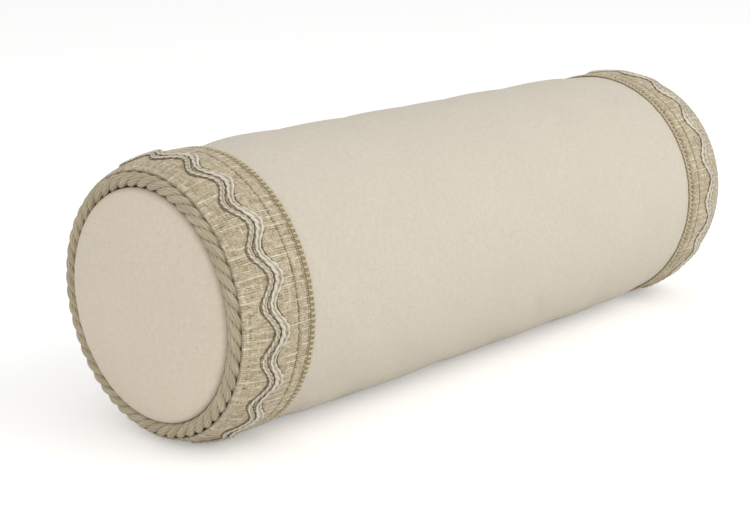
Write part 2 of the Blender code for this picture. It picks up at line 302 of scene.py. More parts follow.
def makePiece(name, parts, material, replaces=(), body="pillow"):
    # one mesh object of all the parts, with their uv and point values, riding on its body
    starts = np.cumsum([0] + [len(part["points"]) for part in parts])
    points = np.concatenate([part["points"] for part in parts])
    loops = np.concatenate([part["loops"] + start for part, start in zip(parts, starts)])
    totals = np.concatenate([part["totals"] for part in parts])
    mesh = bpy.data.meshes.new(name)
    mesh.vertices.add(len(points))
    mesh.vertices.foreach_set("co", points.astype(np.float32).ravel())
    mesh.loops.add(len(loops))
    mesh.loops.foreach_set("vertex_index", loops.astype(np.int32))
    mesh.polygons.add(len(totals))
    mesh.polygons.foreach_set("loop_start", (np.cumsum(totals) - totals).astype(np.int32))
    mesh.update(calc_edges=True)
    uv = np.concatenate([part["uv"] for part in parts])
    mesh.uv_layers.new(name="cloth").uv.foreach_set("vector", uv.astype(np.float32).ravel())
    for key in parts[0]["values"]:
        values = np.concatenate([part["values"][key] for part in parts])
        mesh.attributes.new(key, "FLOAT", "POINT").data.foreach_set("value", values.astype(np.float32))
    mesh.shade_smooth()
    mesh.materials.append(material)
    piece = bpy.data.objects.new(name, mesh)
    bpy.context.scene.collection.objects.link(piece)
    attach(piece, body)
    if replaces:
        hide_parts(*replaces)
    return piece


def arcLength(points):
    # distance run along a line of points, starting from 0
    return np.concatenate([[0], np.cumsum(np.linalg.norm(np.diff(points, axis=0), axis=-1))])


def turnedShell(side, outline, columns, swell=0, **values):
    # a closed outline of (x, radius), from pole to pole or round a ring, turned about the axis; swell adds to
    # the radius
    ring = outline[0, 1] > 1 * mm
    points = atEnd(side, outline[:, :1], outline[:, 1:] + swell, circle(columns))
    run = arcLength(np.vstack([outline, outline[:1]]) if ring else outline)
    around = circle(columns, closed=True) * bodyRadius
    return grid(points, (around, run), wrapRows=ring, caps=not ring, **values)


# shader nodes

def adder(tree):
    # gives a short way to add a node: its type, what goes in its sockets, and its settings
    def add(kind, sockets=None, **settings):
        node = tree.nodes.new(kind)
        for key, value in settings.items():
            setattr(node, key, value)
        for key, value in (sockets or {}).items():
            if isinstance(value, bpy.types.NodeSocket):
                tree.links.new(value, node.inputs[key])
            else:
                node.inputs[key].default_value = value
        return node
    return add


def sums(add):
    # gives calc("MULTIPLY", a, b), the output of one Math node
    def calc(operation, *values, clamp=False):
        node = add("ShaderNodeMath", dict(enumerate(values)), operation=operation, use_clamp=clamp)
        return node.outputs[0]
    return calc


def noiseOf(add, vector, scale, detail, **more):
    # the value of one noise texture
    sockets = {"Vector": vector, "Scale": scale, "Detail": detail, **more}
    return add("ShaderNodeTexNoise", sockets).outputs["Fac"]


def ramp(add, value, low, high, atLow=0.0, atHigh=1.0):
    # a value that goes evenly from atLow to atHigh as another goes from low to high
    spread = {"From Min": low, "From Max": high, "To Min": atLow, "To Max": atHigh}
    return add("ShaderNodeMapRange", {"Value": value, **spread}).outputs[0]


def newGroup(name, inputs, outputs):
    # an empty shader group with named sockets; gives the group, its input node, its output node and its adder
    group = bpy.data.node_groups.new(name, "ShaderNodeTree")
    for socketName, start in inputs.items():
        kind = "NodeSocketVector" if start is None else "NodeSocketFloat"
        socket = group.interface.new_socket(name=socketName, in_out="INPUT", socket_type=kind)
        if start is not None:
            socket.default_value = start
    for socketName in outputs:
        group.interface.new_socket(name=socketName, in_out="OUTPUT", socket_type="NodeSocketFloat")
    add = adder(group)
    return group, add("NodeGroupInput"), add("NodeGroupOutput"), add


def plainWeaveGroup():
    # warp and weft threads passing over and under each other: each is |sin| across itself, raised where it is
    # on top; slubs are long noise along each thread; the shade output is painted shade where a thread dips
    # under
    group, given, result, add = newGroup(
        "plainWeave", {"Vector": None, "Thread": 0.0007, "Slub": 0.5}, ("Height", "GapShade", "Tone"))
    calc = sums(add)
    split = add("ShaderNodeSeparateXYZ", {"Vector": given.outputs["Vector"]})
    heights, tones, across = [], [], []
    places = [calc("DIVIDE", split.outputs[k], given.outputs["Thread"]) for k in (0, 1)]
    counted = [calc("FLOOR", place) for place in places]
    parity = calc("MULTIPLY", calc("FRACT", calc("MULTIPLY", calc("ADD", *counted), 0.5)), 2.0)
    over = calc("MULTIPLY_ADD", parity, -2.0, 1.0)
    for place in places:
        across.append(calc("SINE", calc("MULTIPLY", calc("FRACT", place), math.pi)))
    for k, sign in ((0, 0.45), (1, -0.45)):
        lift = calc("MULTIPLY_ADD", calc("MULTIPLY", over, across[1 - k]), sign, 0.55)
        heights.append(calc("MULTIPLY", across[k], lift))
        thread = add("ShaderNodeCombineXYZ", {
            "X": calc("MULTIPLY", counted[k], 3.7 + k),
            "Y": calc("MULTIPLY", places[1 - k], 0.035), "Z": 5.0 * k})
        tones.append(noiseOf(add, thread.outputs[0], 1.0, 2.0))
    height = calc("MAXIMUM", *heights)
    warpOnTop = calc("GREATER_THAN", *heights)
    tone = add("ShaderNodeMix", {"Factor": warpOnTop, "A": tones[1], "B": tones[0]}, data_type="FLOAT")
    slub = calc("MULTIPLY", calc("SUBTRACT", tone.outputs[0], 0.5), given.outputs["Slub"])
    group.links.new(calc("ADD", height, slub), result.inputs["Height"])
    group.links.new(ramp(add, height, 0.15, 0.55, 1.0, 0.0), result.inputs["GapShade"])
    group.links.new(calc("ADD", slub, 0.5), result.inputs["Tone"])
    return group


def fibresGroup():
    # fine fibres lying along v at a slant: noise stretched along them
    group, given, result, add = newGroup(
        "fibres", {"Vector": None, "Fibre": 0.0004, "Length": 0.006, "Slant": 0.5}, ("Height", "Tone"))
    calc = sums(add)
    split = add("ShaderNodeSeparateXYZ", {"Vector": given.outputs["Vector"]})
    slanted = calc("MULTIPLY_ADD", split.outputs[1], given.outputs["Slant"], split.outputs[0])
    place = add("ShaderNodeCombineXYZ", {
        "X": calc("DIVIDE", slanted, given.outputs["Fibre"]),
        "Y": calc("DIVIDE", split.outputs[1], given.outputs["Length"])})
    group.links.new(noiseOf(add, place.outputs[0], 1.0, 3.0, Roughness=0.6), result.inputs["Height"])
    group.links.new(noiseOf(add, place.outputs[0], 0.3, 1.0), result.inputs["Tone"])
    return group


def handlingGroup():
    # slow changes over the whole pillow, from use and from how the cloth took its dye
    group, given, result, add = newGroup("handling", {"Vector": None, "Size": 0.06, "Amount": 1.0}, ("Tone",))
    calc = sums(add)
    scale = calc("DIVIDE", 1.0, given.outputs["Size"])
    noise = noiseOf(add, given.outputs["Vector"], scale, 4.0)
    centred = calc("MULTIPLY", calc("SUBTRACT", noise, 0.5), given.outputs["Amount"])
    group.links.new(calc("ADD", centred, 0.5), result.inputs["Tone"])
    return group


def threadsGroup():
    # thin lines at a regular pitch across x, wavering and broken along y: 1 on a line, 0 off it
    inputs = {"Vector": None, "Pitch": 0.0045, "Width": 0.12, "Waver": 0.15, "Shown": 0.5, "Stretch": 0.004}
    group, given, result, add = newGroup("threads", inputs, ("Line",))
    calc = sums(add)
    split = add("ShaderNodeSeparateXYZ", {"Vector": given.outputs["Vector"]})
    centred = calc("SUBTRACT", noiseOf(add, given.outputs["Vector"], 240.0, 2.0), 0.5)
    moved = calc("MULTIPLY", centred, calc("MULTIPLY", given.outputs["Waver"], 2.0))
    place = calc("ADD", moved, calc("DIVIDE", split.outputs[0], given.outputs["Pitch"]))
    offset = calc("ABSOLUTE", calc("SUBTRACT", calc("FRACT", place), 0.5))
    line = ramp(add, offset, 0.0, given.outputs["Width"], 1.0, 0.0)
    stretch = add("ShaderNodeCombineXYZ", {
        "X": calc("MULTIPLY", calc("FLOOR", place), 3.1),
        "Y": calc("DIVIDE", split.outputs[1], given.outputs["Stretch"])})
    low = calc("MULTIPLY_ADD", given.outputs["Shown"], -0.5, 0.68)
    shown = ramp(add, noiseOf(add, stretch.outputs[0], 1.0, 1.0), low, calc("ADD", low, 0.14))
    group.links.new(calc("MULTIPLY", line, shown), result.inputs["Line"])
    return group


groups = {
    "weave": plainWeaveGroup(), "fibres": fibresGroup(),
    "handling": handlingGroup(), "threads": threadsGroup(),
}


def clothMaterial(name, look, build):
    # a fabric's material: build adds its pattern and gives the colour, the height and the height's depth
    material = bpy.data.materials.new(name)
    material.use_nodes = True
    tree = material.node_tree
    add = adder(tree)
    shader = tree.nodes["Principled BSDF"]
    shader.inputs["Roughness"].default_value = look["roughness"]
    shader.inputs["Sheen Weight"].default_value = look.get("sheen", 0.0)
    shader.inputs["Sheen Roughness"].default_value = look.get("sheenRoughness", 0.5)
    shader.inputs["Specular IOR Level"].default_value = look["specular"]
    shader.inputs["Metallic"].default_value = look.get("metallic", 0.0)
    colour, height, depth = build(add, look)
    tree.links.new(colour, shader.inputs["Base Color"])
    relief = add("ShaderNodeBump", {"Height": height, "Strength": look["relief"], "Distance": depth})
    tree.links.new(relief.outputs[0], shader.inputs["Normal"])
    return material


def placedGroup(add, key, vector, **sockets):
    # a shared group's node in a material
    node = add("ShaderNodeGroup", node_tree=groups[key])
    node.id_data.links.new(vector, node.inputs["Vector"])
    for socketName, value in sockets.items():
        node.inputs[socketName].default_value = value
    return node


def mixed(add, factor, first, second):
    # a colour between two others
    node = add("ShaderNodeMix", {"Factor": factor}, data_type="RGBA")
    for socket, value in ((node.inputs[6], first), (node.inputs[7], second)):
        if isinstance(value, bpy.types.NodeSocket):
            node.id_data.links.new(value, socket)
        else:
            socket.default_value = value
    return node.outputs[2]


def shaded(add, tone, colour, spread):
    # a colour made lighter or darker by spread as tone goes from 0 to 1
    calc = sums(add)
    factor = calc("MULTIPLY_ADD", calc("SUBTRACT", tone, 0.5), 2 * spread, 1.0)
    node = add("ShaderNodeVectorMath", {0: colour}, operation="SCALE")
    node.id_data.links.new(factor, node.inputs["Scale"])
    return node.outputs[0]


def uvOf(add):
    # the piece's own uv, in metres of cloth
    return add("ShaderNodeUVMap", uv_map="cloth").outputs[0]


def placeOf(add):
    # object coordinates
    return add("ShaderNodeTexCoord").outputs["Object"]


def valueOf(add, name):
    # a value stored on the mesh's points
    return add("ShaderNodeAttribute", attribute_name=name).outputs["Fac"]


def buildWoven(add, look):
    # plain weave: thread tones, painted shade between the threads, and slow unevenness over the pillow
    weave = placedGroup(add, "weave", uvOf(add), Thread=look["thread"], Slub=look["slub"])
    handling = placedGroup(add, "handling", placeOf(add), Size=0.07, Amount=1.0)
    colour = mixed(add, weave.outputs["GapShade"], srgb(*look["thread colour"]), srgb(*look["gap colour"]))
    colour = shaded(add, weave.outputs["Tone"], colour, look["tone"])
    colour = shaded(add, handling.outputs["Tone"], colour, look["unevenness"])
    for stretch in ((0.35, 1.0, 0.0), (1.0, 0.35, 0.0)):
        slubs = add("ShaderNodeVectorMath", {0: uvOf(add), 1: stretch}, operation="MULTIPLY").outputs[0]
        grain = placedGroup(add, "handling", slubs, Size=look["thread"] * 2.2, Amount=1.5)
        colour = shaded(add, grain.outputs["Tone"], colour, look.get("grain", 0.03))
    # painted shade from the mesh's shade-and-stitch value: darker folded edges, turn-ins and rims
    colour = mixed(add, valueOf(add, "hollow"), colour, srgb(*look["hollow colour"]))
    return colour, weave.outputs["Height"], look["thread"] * 0.3


def buildRibbed(add, look):
    # the trim's ground: light raised threads both ways, partly painted highlight; painted shade in brown,
    # partly the band's own brown; coarse grain, fibres along the ribs
    calc = sums(add)
    split = add("ShaderNodeSeparateXYZ", {"Vector": uvOf(add)})
    swapped = add("ShaderNodeCombineXYZ", {"X": split.outputs[1], "Y": split.outputs[0]}).outputs[0]
    fibres = placedGroup(add, "fibres", uvOf(add), Fibre=0.0005, Length=0.003, Slant=0.0)
    grain = placedGroup(add, "handling", uvOf(add), Size=0.0016, Amount=1.7)
    handling = placedGroup(add, "handling", placeOf(add), Size=0.02, Amount=1.2)
    ribs = placedGroup(add, "threads", uvOf(add), **look["ribs"])
    rounds = placedGroup(add, "threads", swapped, **look["rounds"])
    gaps = placedGroup(add, "threads", uvOf(add), **look["gaps"])
    # lighter raised threads: partly their own colour, partly painted highlight on the rib tops
    light = calc("MAXIMUM", valueOf(add, "light"), calc("MULTIPLY", ribs.outputs["Line"], 0.7))
    light = calc("MAXIMUM", light, calc("MULTIPLY", rounds.outputs["Line"], 0.6))
    colour = mixed(add, light, srgb(*look["ground"]), srgb(*look["light thread"]))
    colour = shaded(add, fibres.outputs["Height"], colour, look["fibre tone"])
    colour = shaded(add, grain.outputs["Tone"], colour, look["grain"])
    colour = shaded(add, handling.outputs["Tone"], colour, look["unevenness"])
    # painted shade between the ribs and in grooves and holes, partly the band's own brown
    hollow = calc("MULTIPLY_ADD", gaps.outputs["Line"], 0.6, valueOf(add, "hollow"), clamp=True)
    hollow = calc("MULTIPLY", hollow, calc("MULTIPLY_ADD", light, -0.5, 1.0))
    colour = mixed(add, calc("MULTIPLY", hollow, look["darkening"]), colour, srgb(*look["hollow colour"]))
    height = calc("ADD", fibres.outputs["Height"], calc("MULTIPLY", calc("SUBTRACT", light, hollow), 1.2))
    return colour, height, 0.0003


def buildTwisted(add, look):
    # yarn: fibres at a slant along it, painted shade between yarns and plies; on the zip coil the same value
    # gives the stitch thread's own lighter colour
    calc = sums(add)
    lie = {"Fibre": look["fibre"], "Length": look["length"], "Slant": look["slant"]}
    fibres = placedGroup(add, "fibres", uvOf(add), **lie)
    handling = placedGroup(add, "handling", placeOf(add), Size=0.012, Amount=1.3)
    colour = mixed(add, fibres.outputs["Tone"], srgb(*look["dark yarn"]), srgb(*look["light yarn"]))
    colour = shaded(add, fibres.outputs["Height"], colour, look["fibre tone"])
    colour = shaded(add, handling.outputs["Tone"], colour, look["unevenness"])
    hollow, height = valueOf(add, "hollow"), fibres.outputs["Height"]
    if "yarn" in look:
        yarns = placedGroup(add, "threads", uvOf(add), **look["yarn"])
        # painted shade between the yarns
        hollow = calc("MULTIPLY_ADD", yarns.outputs["Line"], look["yarn gap"], hollow, clamp=True)
        height = calc("SUBTRACT", height, yarns.outputs["Line"])
    colour = mixed(add, calc("MULTIPLY", hollow, look["darkening"]), colour, srgb(*look["hollow colour"]))
    return colour, height, look["fibre"] * 0.5


def buildFluffy(add, look):
    # wadding: tangled noise
    height = noiseOf(add, placeOf(add), 1 / look["size"], 6.0, Distortion=1.5)
    return mixed(add, height, srgb(*look["dark"]), srgb(*look["light"])), height, look["depth"]


def buildCells(add, look):
    # open foam: round pores, with painted shade inside them
    pores = add("ShaderNodeTexVoronoi", {"Vector": placeOf(add), "Scale": 1 / look["cell"]})
    height = pores.outputs["Distance"]
    return mixed(add, height, srgb(*look["dark"]), srgb(*look["light"])), height, look["depth"]


def buildMetal(add, look):
    # brushed metal: fine streaks along x and dark patches of age
    stretched = add("ShaderNodeMapping", {"Vector": placeOf(add), "Scale": (0.08, 1.0, 1.0)})
    streaks = noiseOf(add, stretched.outputs[0], 1 / look["grain"], 3.0)
    age = placedGroup(add, "handling", placeOf(add), Size=0.003, Amount=1.6)
    colour = mixed(add, age.outputs["Tone"], srgb(*look["dark"]), srgb(*look["light"]))
    return shaded(add, streaks, colour, 0.12), streaks, look["depth"]


setStudio()
print("Studio: camera, floor and lights")


looks = {
    "linen": {
        # the darker colours are painted shade: between the threads, and on the folded edges and turn-ins
        "thread": 0.00072, "slub": 0.5, "thread colour": (220, 211, 195), "gap colour": (198, 188, 170),
        "hollow colour": (150, 134, 108), "tone": 0.12, "unevenness": 0.03, "grain": 0.055,
        "roughness": 0.85, "sheen": 0.12, "specular": 0.15, "relief": 0.35,
    },
    "trim": {
        # the lightest colour is partly the raised threads' own and partly painted highlight; the darkest is
        # painted shade in grooves, holes and between ribs, partly the band's own brown
        "ground": (191, 175, 142), "light thread": (240, 231, 210), "hollow colour": (102, 85, 56),
        "ribs": {"Pitch": 0.00145, "Width": 0.3, "Waver": 0.25, "Shown": 0.42, "Stretch": 0.0035},
        "rounds": {"Pitch": 0.0045, "Width": 0.15, "Waver": 0.15, "Shown": 0.6, "Stretch": 0.007},
        "gaps": {"Pitch": 0.00151, "Width": 0.3, "Waver": 0.3, "Shown": 0.45, "Stretch": 0.0028},
        "fibre tone": 0.24, "grain": 0.27, "unevenness": 0.12, "darkening": 0.85,
        "roughness": 0.75, "sheen": 0.15, "specular": 0.25, "relief": 0.7,
    },
    "rope": {
        # the darkest colour is painted shade between plies and yarns
        "yarn": {"Pitch": 0.00125, "Width": 0.3, "Waver": 0.3, "Shown": 0.75, "Stretch": 0.01},
        "yarn gap": 0.45, "fibre": 0.0005, "length": 0.012, "slant": 0.2, "dark yarn": (174, 160, 130),
        "light yarn": (214, 201, 174), "hollow colour": (136, 119, 88), "fibre tone": 0.26,
        "unevenness": 0.12, "darkening": 0.7, "roughness": 0.6, "sheen": 0.2, "specular": 0.35, "relief": 0.9,
    },
    "satin": {
        # the darkest colour is painted shade between plies and yarns
        "fibre": 0.0005, "length": 0.007, "slant": 0.15, "dark yarn": (196, 183, 156),
        "light yarn": (252, 246, 233), "hollow colour": (140, 123, 94), "fibre tone": 0.2, "unevenness": 0.12,
        "darkening": 0.75, "roughness": 0.38, "sheen": 0.1, "specular": 0.6, "relief": 0.5,
    },
    "outline": {
        # the dark brown is partly the threads' own and partly painted shade along the wavy cords' edges
        "fibre": 0.0004, "length": 0.004, "slant": 0.6, "dark yarn": (98, 82, 56),
        "light yarn": (140, 122, 92), "hollow colour": (84, 70, 48), "fibre tone": 0.2, "unevenness": 0.15,
        "darkening": 0.8, "roughness": 0.65, "sheen": 0.1, "specular": 0.3, "relief": 0.6,
    },
    "picot": {
        "fibre": 0.0003, "length": 0.003, "slant": 0.5, "dark yarn": (182, 167, 134),
        "light yarn": (226, 214, 187), "hollow colour": (104, 88, 60), "fibre tone": 0.15, "unevenness": 0.1,
        "darkening": 0.8, "roughness": 0.6, "sheen": 0.1, "specular": 0.35, "relief": 0.6,
    },
    "picotTape": {
        # the brown is partly the tape's own and partly painted shade from the loops over it; the darker
        # colour is painted shade between threads
        "thread": 0.0006, "slub": 0.6, "thread colour": (172, 155, 121), "gap colour": (138, 121, 89),
        "hollow colour": (80, 66, 44), "tone": 0.15, "unevenness": 0.1,
        "roughness": 0.8, "sheen": 0.1, "specular": 0.2, "relief": 0.5,
    },
    "zipTape": {
        # the darker colour is painted shade between the threads
        "thread": 0.0005, "slub": 0.2, "thread colour": (206, 196, 176), "gap colour": (176, 164, 142),
        "hollow colour": (150, 136, 112), "tone": 0.05, "unevenness": 0.03,
        "roughness": 0.7, "sheen": 0.1, "specular": 0.25, "relief": 0.5,
    },
    "ticking": {
        # the darker colour is painted shade between the threads
        "thread": 0.0005, "slub": 0.2, "thread colour": (238, 235, 227), "gap colour": (216, 212, 202),
        "hollow colour": (180, 174, 160), "tone": 0.05, "unevenness": 0.03,
        "roughness": 0.85, "sheen": 0.1, "specular": 0.2, "relief": 0.4,
    },
    "zipCoil": {
        # the lightest colour is the stitch thread's own
        "fibre": 0.0006, "length": 0.004, "slant": 0.0, "dark yarn": (196, 184, 160),
        "light yarn": (212, 201, 179), "hollow colour": (232, 226, 212), "fibre tone": 0.04,
        "unevenness": 0.04, "darkening": 0.8, "roughness": 0.35, "sheen": 0.0, "specular": 0.5, "relief": 0.1,
    },
    "batting": {
        "size": 0.004, "light": (246, 246, 243), "dark": (222, 222, 217), "depth": 0.0012,
        "roughness": 0.95, "sheen": 0.5, "sheenRoughness": 0.4, "specular": 0.1, "relief": 0.9,
    },
    "foam": {
        # the darker colour is painted shade inside the pores
        "cell": 0.0011, "light": (236, 222, 176), "dark": (190, 168, 112), "depth": 0.0005,
        "roughness": 0.95, "specular": 0.15, "relief": 0.8,
    },
    "brass": {
        "grain": 0.0005, "light": (196, 170, 118), "dark": (150, 124, 80), "depth": 0.00003,
        "roughness": 0.34, "metallic": 1.0, "specular": 0.5, "relief": 0.3,
    },
}

# the end panels: the body's linen painted lighter, standing in for light the ends lack, with a painted shade
# colour for their rim
looks["endLinen"] = {
    **looks["linen"], "thread colour": (229, 217, 198), "gap colour": (210, 196, 174),
    "hollow colour": (140, 124, 98),
}
builders = {
    buildWoven: ("linen", "endLinen", "picotTape", "zipTape", "ticking"),
    buildRibbed: ("trim",),
    buildTwisted: ("rope", "satin", "outline", "picot", "zipCoil"),
    buildFluffy: ("batting",), buildCells: ("foam",), buildMetal: ("brass",),
}
materials = {}
for build, names in builders.items():
    for name in names:
        materials[name] = clothMaterial(name, looks[name], build)
print("Materials:", ", ".join(materials))


# linen cover

cover = {
    "thickness": 0.9 * mm,
    "flangeRadius": 73.7 * mm,      # the turned-in end reaches this far in
    "slotHalf": 176 * mm, "slotWidth": 4.7 * mm, "seamGap": 0.12 * mm,
    "columns": 224, "rows": 150, "foldColumns": 4,
    "simRows": 84, "simColumns": 92,
    "pressure": 4.0, "looser": 0.006,
    "swell": 1.2 * mm, "sink": 0.25 * mm, "plump": 2.3 * mm, "plumpRise": 42 * mm,
    "gather": 0.22 * mm, "gatherCount": 58, "gatherReach": 11 * mm,
    "bandEnd": 54 * mm,
    "corner": 1.2 * mm, "flangeMiddle": 78 * mm, "shoulderEnd": 66 * mm, "shoulderRows": 30,
    "slotEase": 0.5 * mm, "swellRise": 20 * mm, "rough": 0.25 * mm,
    "gatherCalm": (0.10, 0.32), "swellCalm": (0.12, 0.45),      # radians from the zip: still, then free
    "simOverlap": 4 * mm, "simBeside": 0.05,                    # under each trim, and radians from the zip
}
simFrames = 20
sheetCloth = {
    "quality": 6, "mass": 0.15, "tension_stiffness": 25, "compression_stiffness": 25, "shear_stiffness": 8,
    "bending_stiffness": 0.6, "air_damping": 4, "vertex_group_mass": "held", "use_pressure": True,
}


def spline(count, places):
    # weights that read a row of count values at fractional places, with the smooth cubic B-spline
    reach = np.abs(places[:, None] - np.arange(count)[None, :])
    near = (4 - 6 * reach ** 2 + 3 * reach ** 3) / 6
    far = np.clip(2 - reach, 0, None) ** 3 / 6
    weights = np.where(reach < 1, near, far)
    return weights / weights.sum(1, keepdims=True)


def blownUp(name, points, held, wrapColumns, spec):
    # a sheet of (rows, columns) points with air behind it, by Blender's cloth; gives where the points go
    part = grid(points, points[..., :2], wrapColumns=wrapColumns)
    mesh = bpy.data.meshes.new(name)
    mesh.from_pydata(part["points"].tolist(), [], part["loops"].reshape(-1, 4).tolist())
    sheet = bpy.data.objects.new(name, mesh)
    bpy.context.scene.collection.objects.link(sheet)
    group = sheet.vertex_groups.new(name="held")
    group.add(np.flatnonzero(held.ravel()).tolist(), 1.0, "REPLACE")
    cloth = sheet.modifiers.new("Cloth", "CLOTH")
    for key, value in sheetCloth.items():
        setattr(cloth.settings, key, value)
    cloth.settings.uniform_pressure_force = spec["pressure"]
    cloth.settings.shrink_min = -spec["looser"]
    cloth.settings.effector_weights.gravity = 0
    cloth.collision_settings.use_collision = False
    cloth.point_cache.frame_start = 1
    cloth.point_cache.frame_end = simFrames
    scene = bpy.context.scene
    for number in range(1, simFrames + 1):
        scene.frame_set(number)
    evaluated = sheet.evaluated_get(bpy.context.evaluated_depsgraph_get())
    moved = np.zeros(len(evaluated.data.vertices) * 3, np.float32)
    evaluated.data.vertices.foreach_get("co", moved)
    bpy.data.objects.remove(sheet, do_unlink=True)
    bpy.data.meshes.remove(mesh)
    scene.frame_set(1)
    return moved.reshape(points.shape).astype(float)


def seamHalfGap(x):
    # half the opening along the lengthwise seam, x from the middle: the zip's slot, then a closed seam
    slotEnd, ease = cover["slotHalf"], cover["slotEase"]
    opening = 1 - step(slotEnd - ease, slotEnd + ease, np.abs(x))
    return cover["seamGap"] / 2 + (cover["slotWidth"] - cover["seamGap"] / 2) * opening


def coverOutline(rows, inset):
    # the half-profile (x, radius) of the body's outer face: flange, rounded corner, shoulder and straight
    # stretch, and the same mirrored
    depth, corner, joint = pillow["seamDepth"] + inset, cover["corner"], cover["shoulderEnd"]
    top = bodyRadius - inset - shoulder(depth)
    flange = [(depth, cover["flangeRadius"]), (depth, cover["flangeMiddle"]), (depth, top - corner)]
    bend = [(depth + corner * (1 - math.cos(a)), top - corner + corner * math.sin(a)) for a in (0.5, 1.0)]
    near = np.linspace(depth + corner, joint, cover["shoulderRows"])
    far = np.linspace(joint, halfSeam, rows // 2 - cover["shoulderRows"])[1:]
    slotEnd = halfSeam - cover["slotHalf"] + np.array([-0.6, -0.3, 0, 0.3, 0.6]) * mm
    x = np.concatenate([near, np.sort(np.concatenate([far, slotEnd]))])
    half = np.vstack([flange, bend, np.stack([x, bodyRadius - inset - shoulder(x)], axis=-1)])
    mirrored = np.stack([2 * halfSeam - half[-2::-1, 0], half[-2::-1, 1]], axis=-1)
    return np.vstack([half, mirrored])


def coverRelief(x, around):
    # the linen's swell from simulation and its gathers at the trims, x from the left end, around from the zip
    free = step(cover["bandEnd"], cover["bandEnd"] + cover["swellRise"], np.minimum(x, 2 * halfSeam - x))
    fromTrim = np.minimum(x, 2 * halfSeam - x) - cover["bandEnd"]
    ripple = unevenness(around, x * 0, 5, around=cover["gatherCount"], along=0.0, count=40)
    gathers = cover["gather"] * ripple * np.exp(-np.clip(fromTrim, 0, None) / cover["gatherReach"])
    gathers = gathers * step(-2 * mm, 1 * mm, fromTrim)
    calm = step(*cover["gatherCalm"], np.minimum(around, turn - around))
    plump = cover["plump"] * step(-cover["simOverlap"], cover["plumpRise"], fromTrim)
    return free, gathers * calm, plump


def simulatedSwell():
    # how far the free linen between the trims stands proud, on the simulation's own grid
    rows, columns = cover["simRows"], cover["simColumns"]
    overlap, beside = cover["simOverlap"], cover["simBeside"]
    x = np.linspace(cover["bandEnd"] - overlap, 2 * halfSeam - cover["bandEnd"] + overlap, rows)[:, None]
    around = np.linspace(beside, turn - beside, columns)[None, :]
    rough = cover["rough"] * unevenness(around, x, 11, around=14, along=60.0, count=24)
    points = roundAxis(x - halfSeam, bodyRadius + rough, zipRound + around)
    held = np.zeros((rows, columns), bool)
    held[:2] = held[-2:] = True
    held[:, :2] = held[:, -2:] = True
    moved = blownUp("swelling", points, held, False, cover)
    proud = np.hypot(moved[..., 1], moved[..., 2]) - bodyRadius
    print("Linen swell (mm):", np.round(np.percentile(proud, (1, 25, 50, 75, 99)) / mm, 2))
    return x[:, 0], around[0], proud


def capped(field, low, high):
    # keeps a field between -low and high, bending towards the limits
    return np.where(field > 0, high * np.tanh(field / high), low * np.tanh(field / low))


def linenBody():
    # one closed skin: the outer face round from one side of the zip to the other, a folded edge, the inner
    # face back, and the other folded edge
    outline = coverOutline(cover["rows"], 0.0)
    inside = coverOutline(cover["rows"], cover["thickness"])
    rows, columns = len(outline), cover["columns"]
    part = np.linspace(0, 1, columns)[None, :]
    simX, simAround, swell = simulatedSwell()
    xAt = np.interp(outline[:, 0], simX, np.arange(len(simX)))
    aroundAt = np.interp(part[0] * turn, simAround, np.arange(len(simAround)))
    swell = spline(len(simX), xAt) @ swell @ spline(len(simAround), aroundAt).T
    x = outline[:, :1]
    free, gathers, plump = coverRelief(x, part * turn)
    calm = step(*cover["swellCalm"], np.minimum(part, 1 - part) * turn)
    relief = (capped(swell, cover["sink"], cover["swell"]) * free + plump) * calm + gathers
    gap = seamHalfGap(halfSeam - x)
    bend = 0.45 * cover["thickness"]                # how far a folded edge rounds out

    def face(line):
        # the angles leave the gap and the fold free at both sides of the zip
        radius = line[:, 1:] + relief
        start = (gap + bend) / radius
        angle = zipRound + start + part * (turn - 2 * start)
        return radius, angle, atEnd(-1, line[:, :1], radius, angle)

    outerRadius, outerAngle, outer = face(outline)
    innerRadius, innerAngle, inner = face(inside)
    foldTurn = np.linspace(0, math.pi, cover["foldColumns"] + 2)[1:-1][None, :]

    def between(first, second):
        # from one value to another as cos(fold turn) goes from 1 to -1
        return (first + second) / 2 + (first - second) / 2 * np.cos(foldTurn)

    def fold(column, way):
        # the half round edge between the two faces, at one side of the zip
        radius = between(outerRadius[:, column][:, None], innerRadius[:, column][:, None])
        angle = outerAngle[:, column][:, None] + way * bend * np.sin(foldTurn) / bodyRadius
        return atEnd(-1, between(outline[:, :1], inside[:, :1]), radius, angle)

    loop = np.concatenate([outer, fold(-1, 1), inner[:, ::-1], fold(0, -1)[:, ::-1]], axis=1)
    folded = cover["foldColumns"]
    # painted shade on the folded edges at the zip and on the end rows where the linen turns in
    hollow = np.zeros(loop.shape[:2])
    hollow[:, columns:columns + folded] = hollow[:, -folded:] = 0.35
    hollow[:3] = hollow[-3:] = 0.3
    outerRun, innerRun = (outerAngle - zipRound) * bodyRadius, (innerAngle - zipRound) * bodyRadius
    beyond = (np.arange(folded) + 1)[None, :] * 0.3 * mm
    after, before = outerRun[:, -1:] + beyond, outerRun[:, :1] - beyond[:, ::-1]
    u = np.concatenate([outerRun, after, innerRun[:, ::-1], before], axis=1)
    uv = stacked(u, arcLength(outline)[:, None])
    sleeve = grid(loop, uv, hollow=hollow)
    rim = rimStrips(uv, columns)
    joined = {**sleeve, **{key: np.concatenate([sleeve[key], rim[key]]) for key in rim}}
    makePiece("linen_body", [joined], materials["linen"], ["body_panel"])


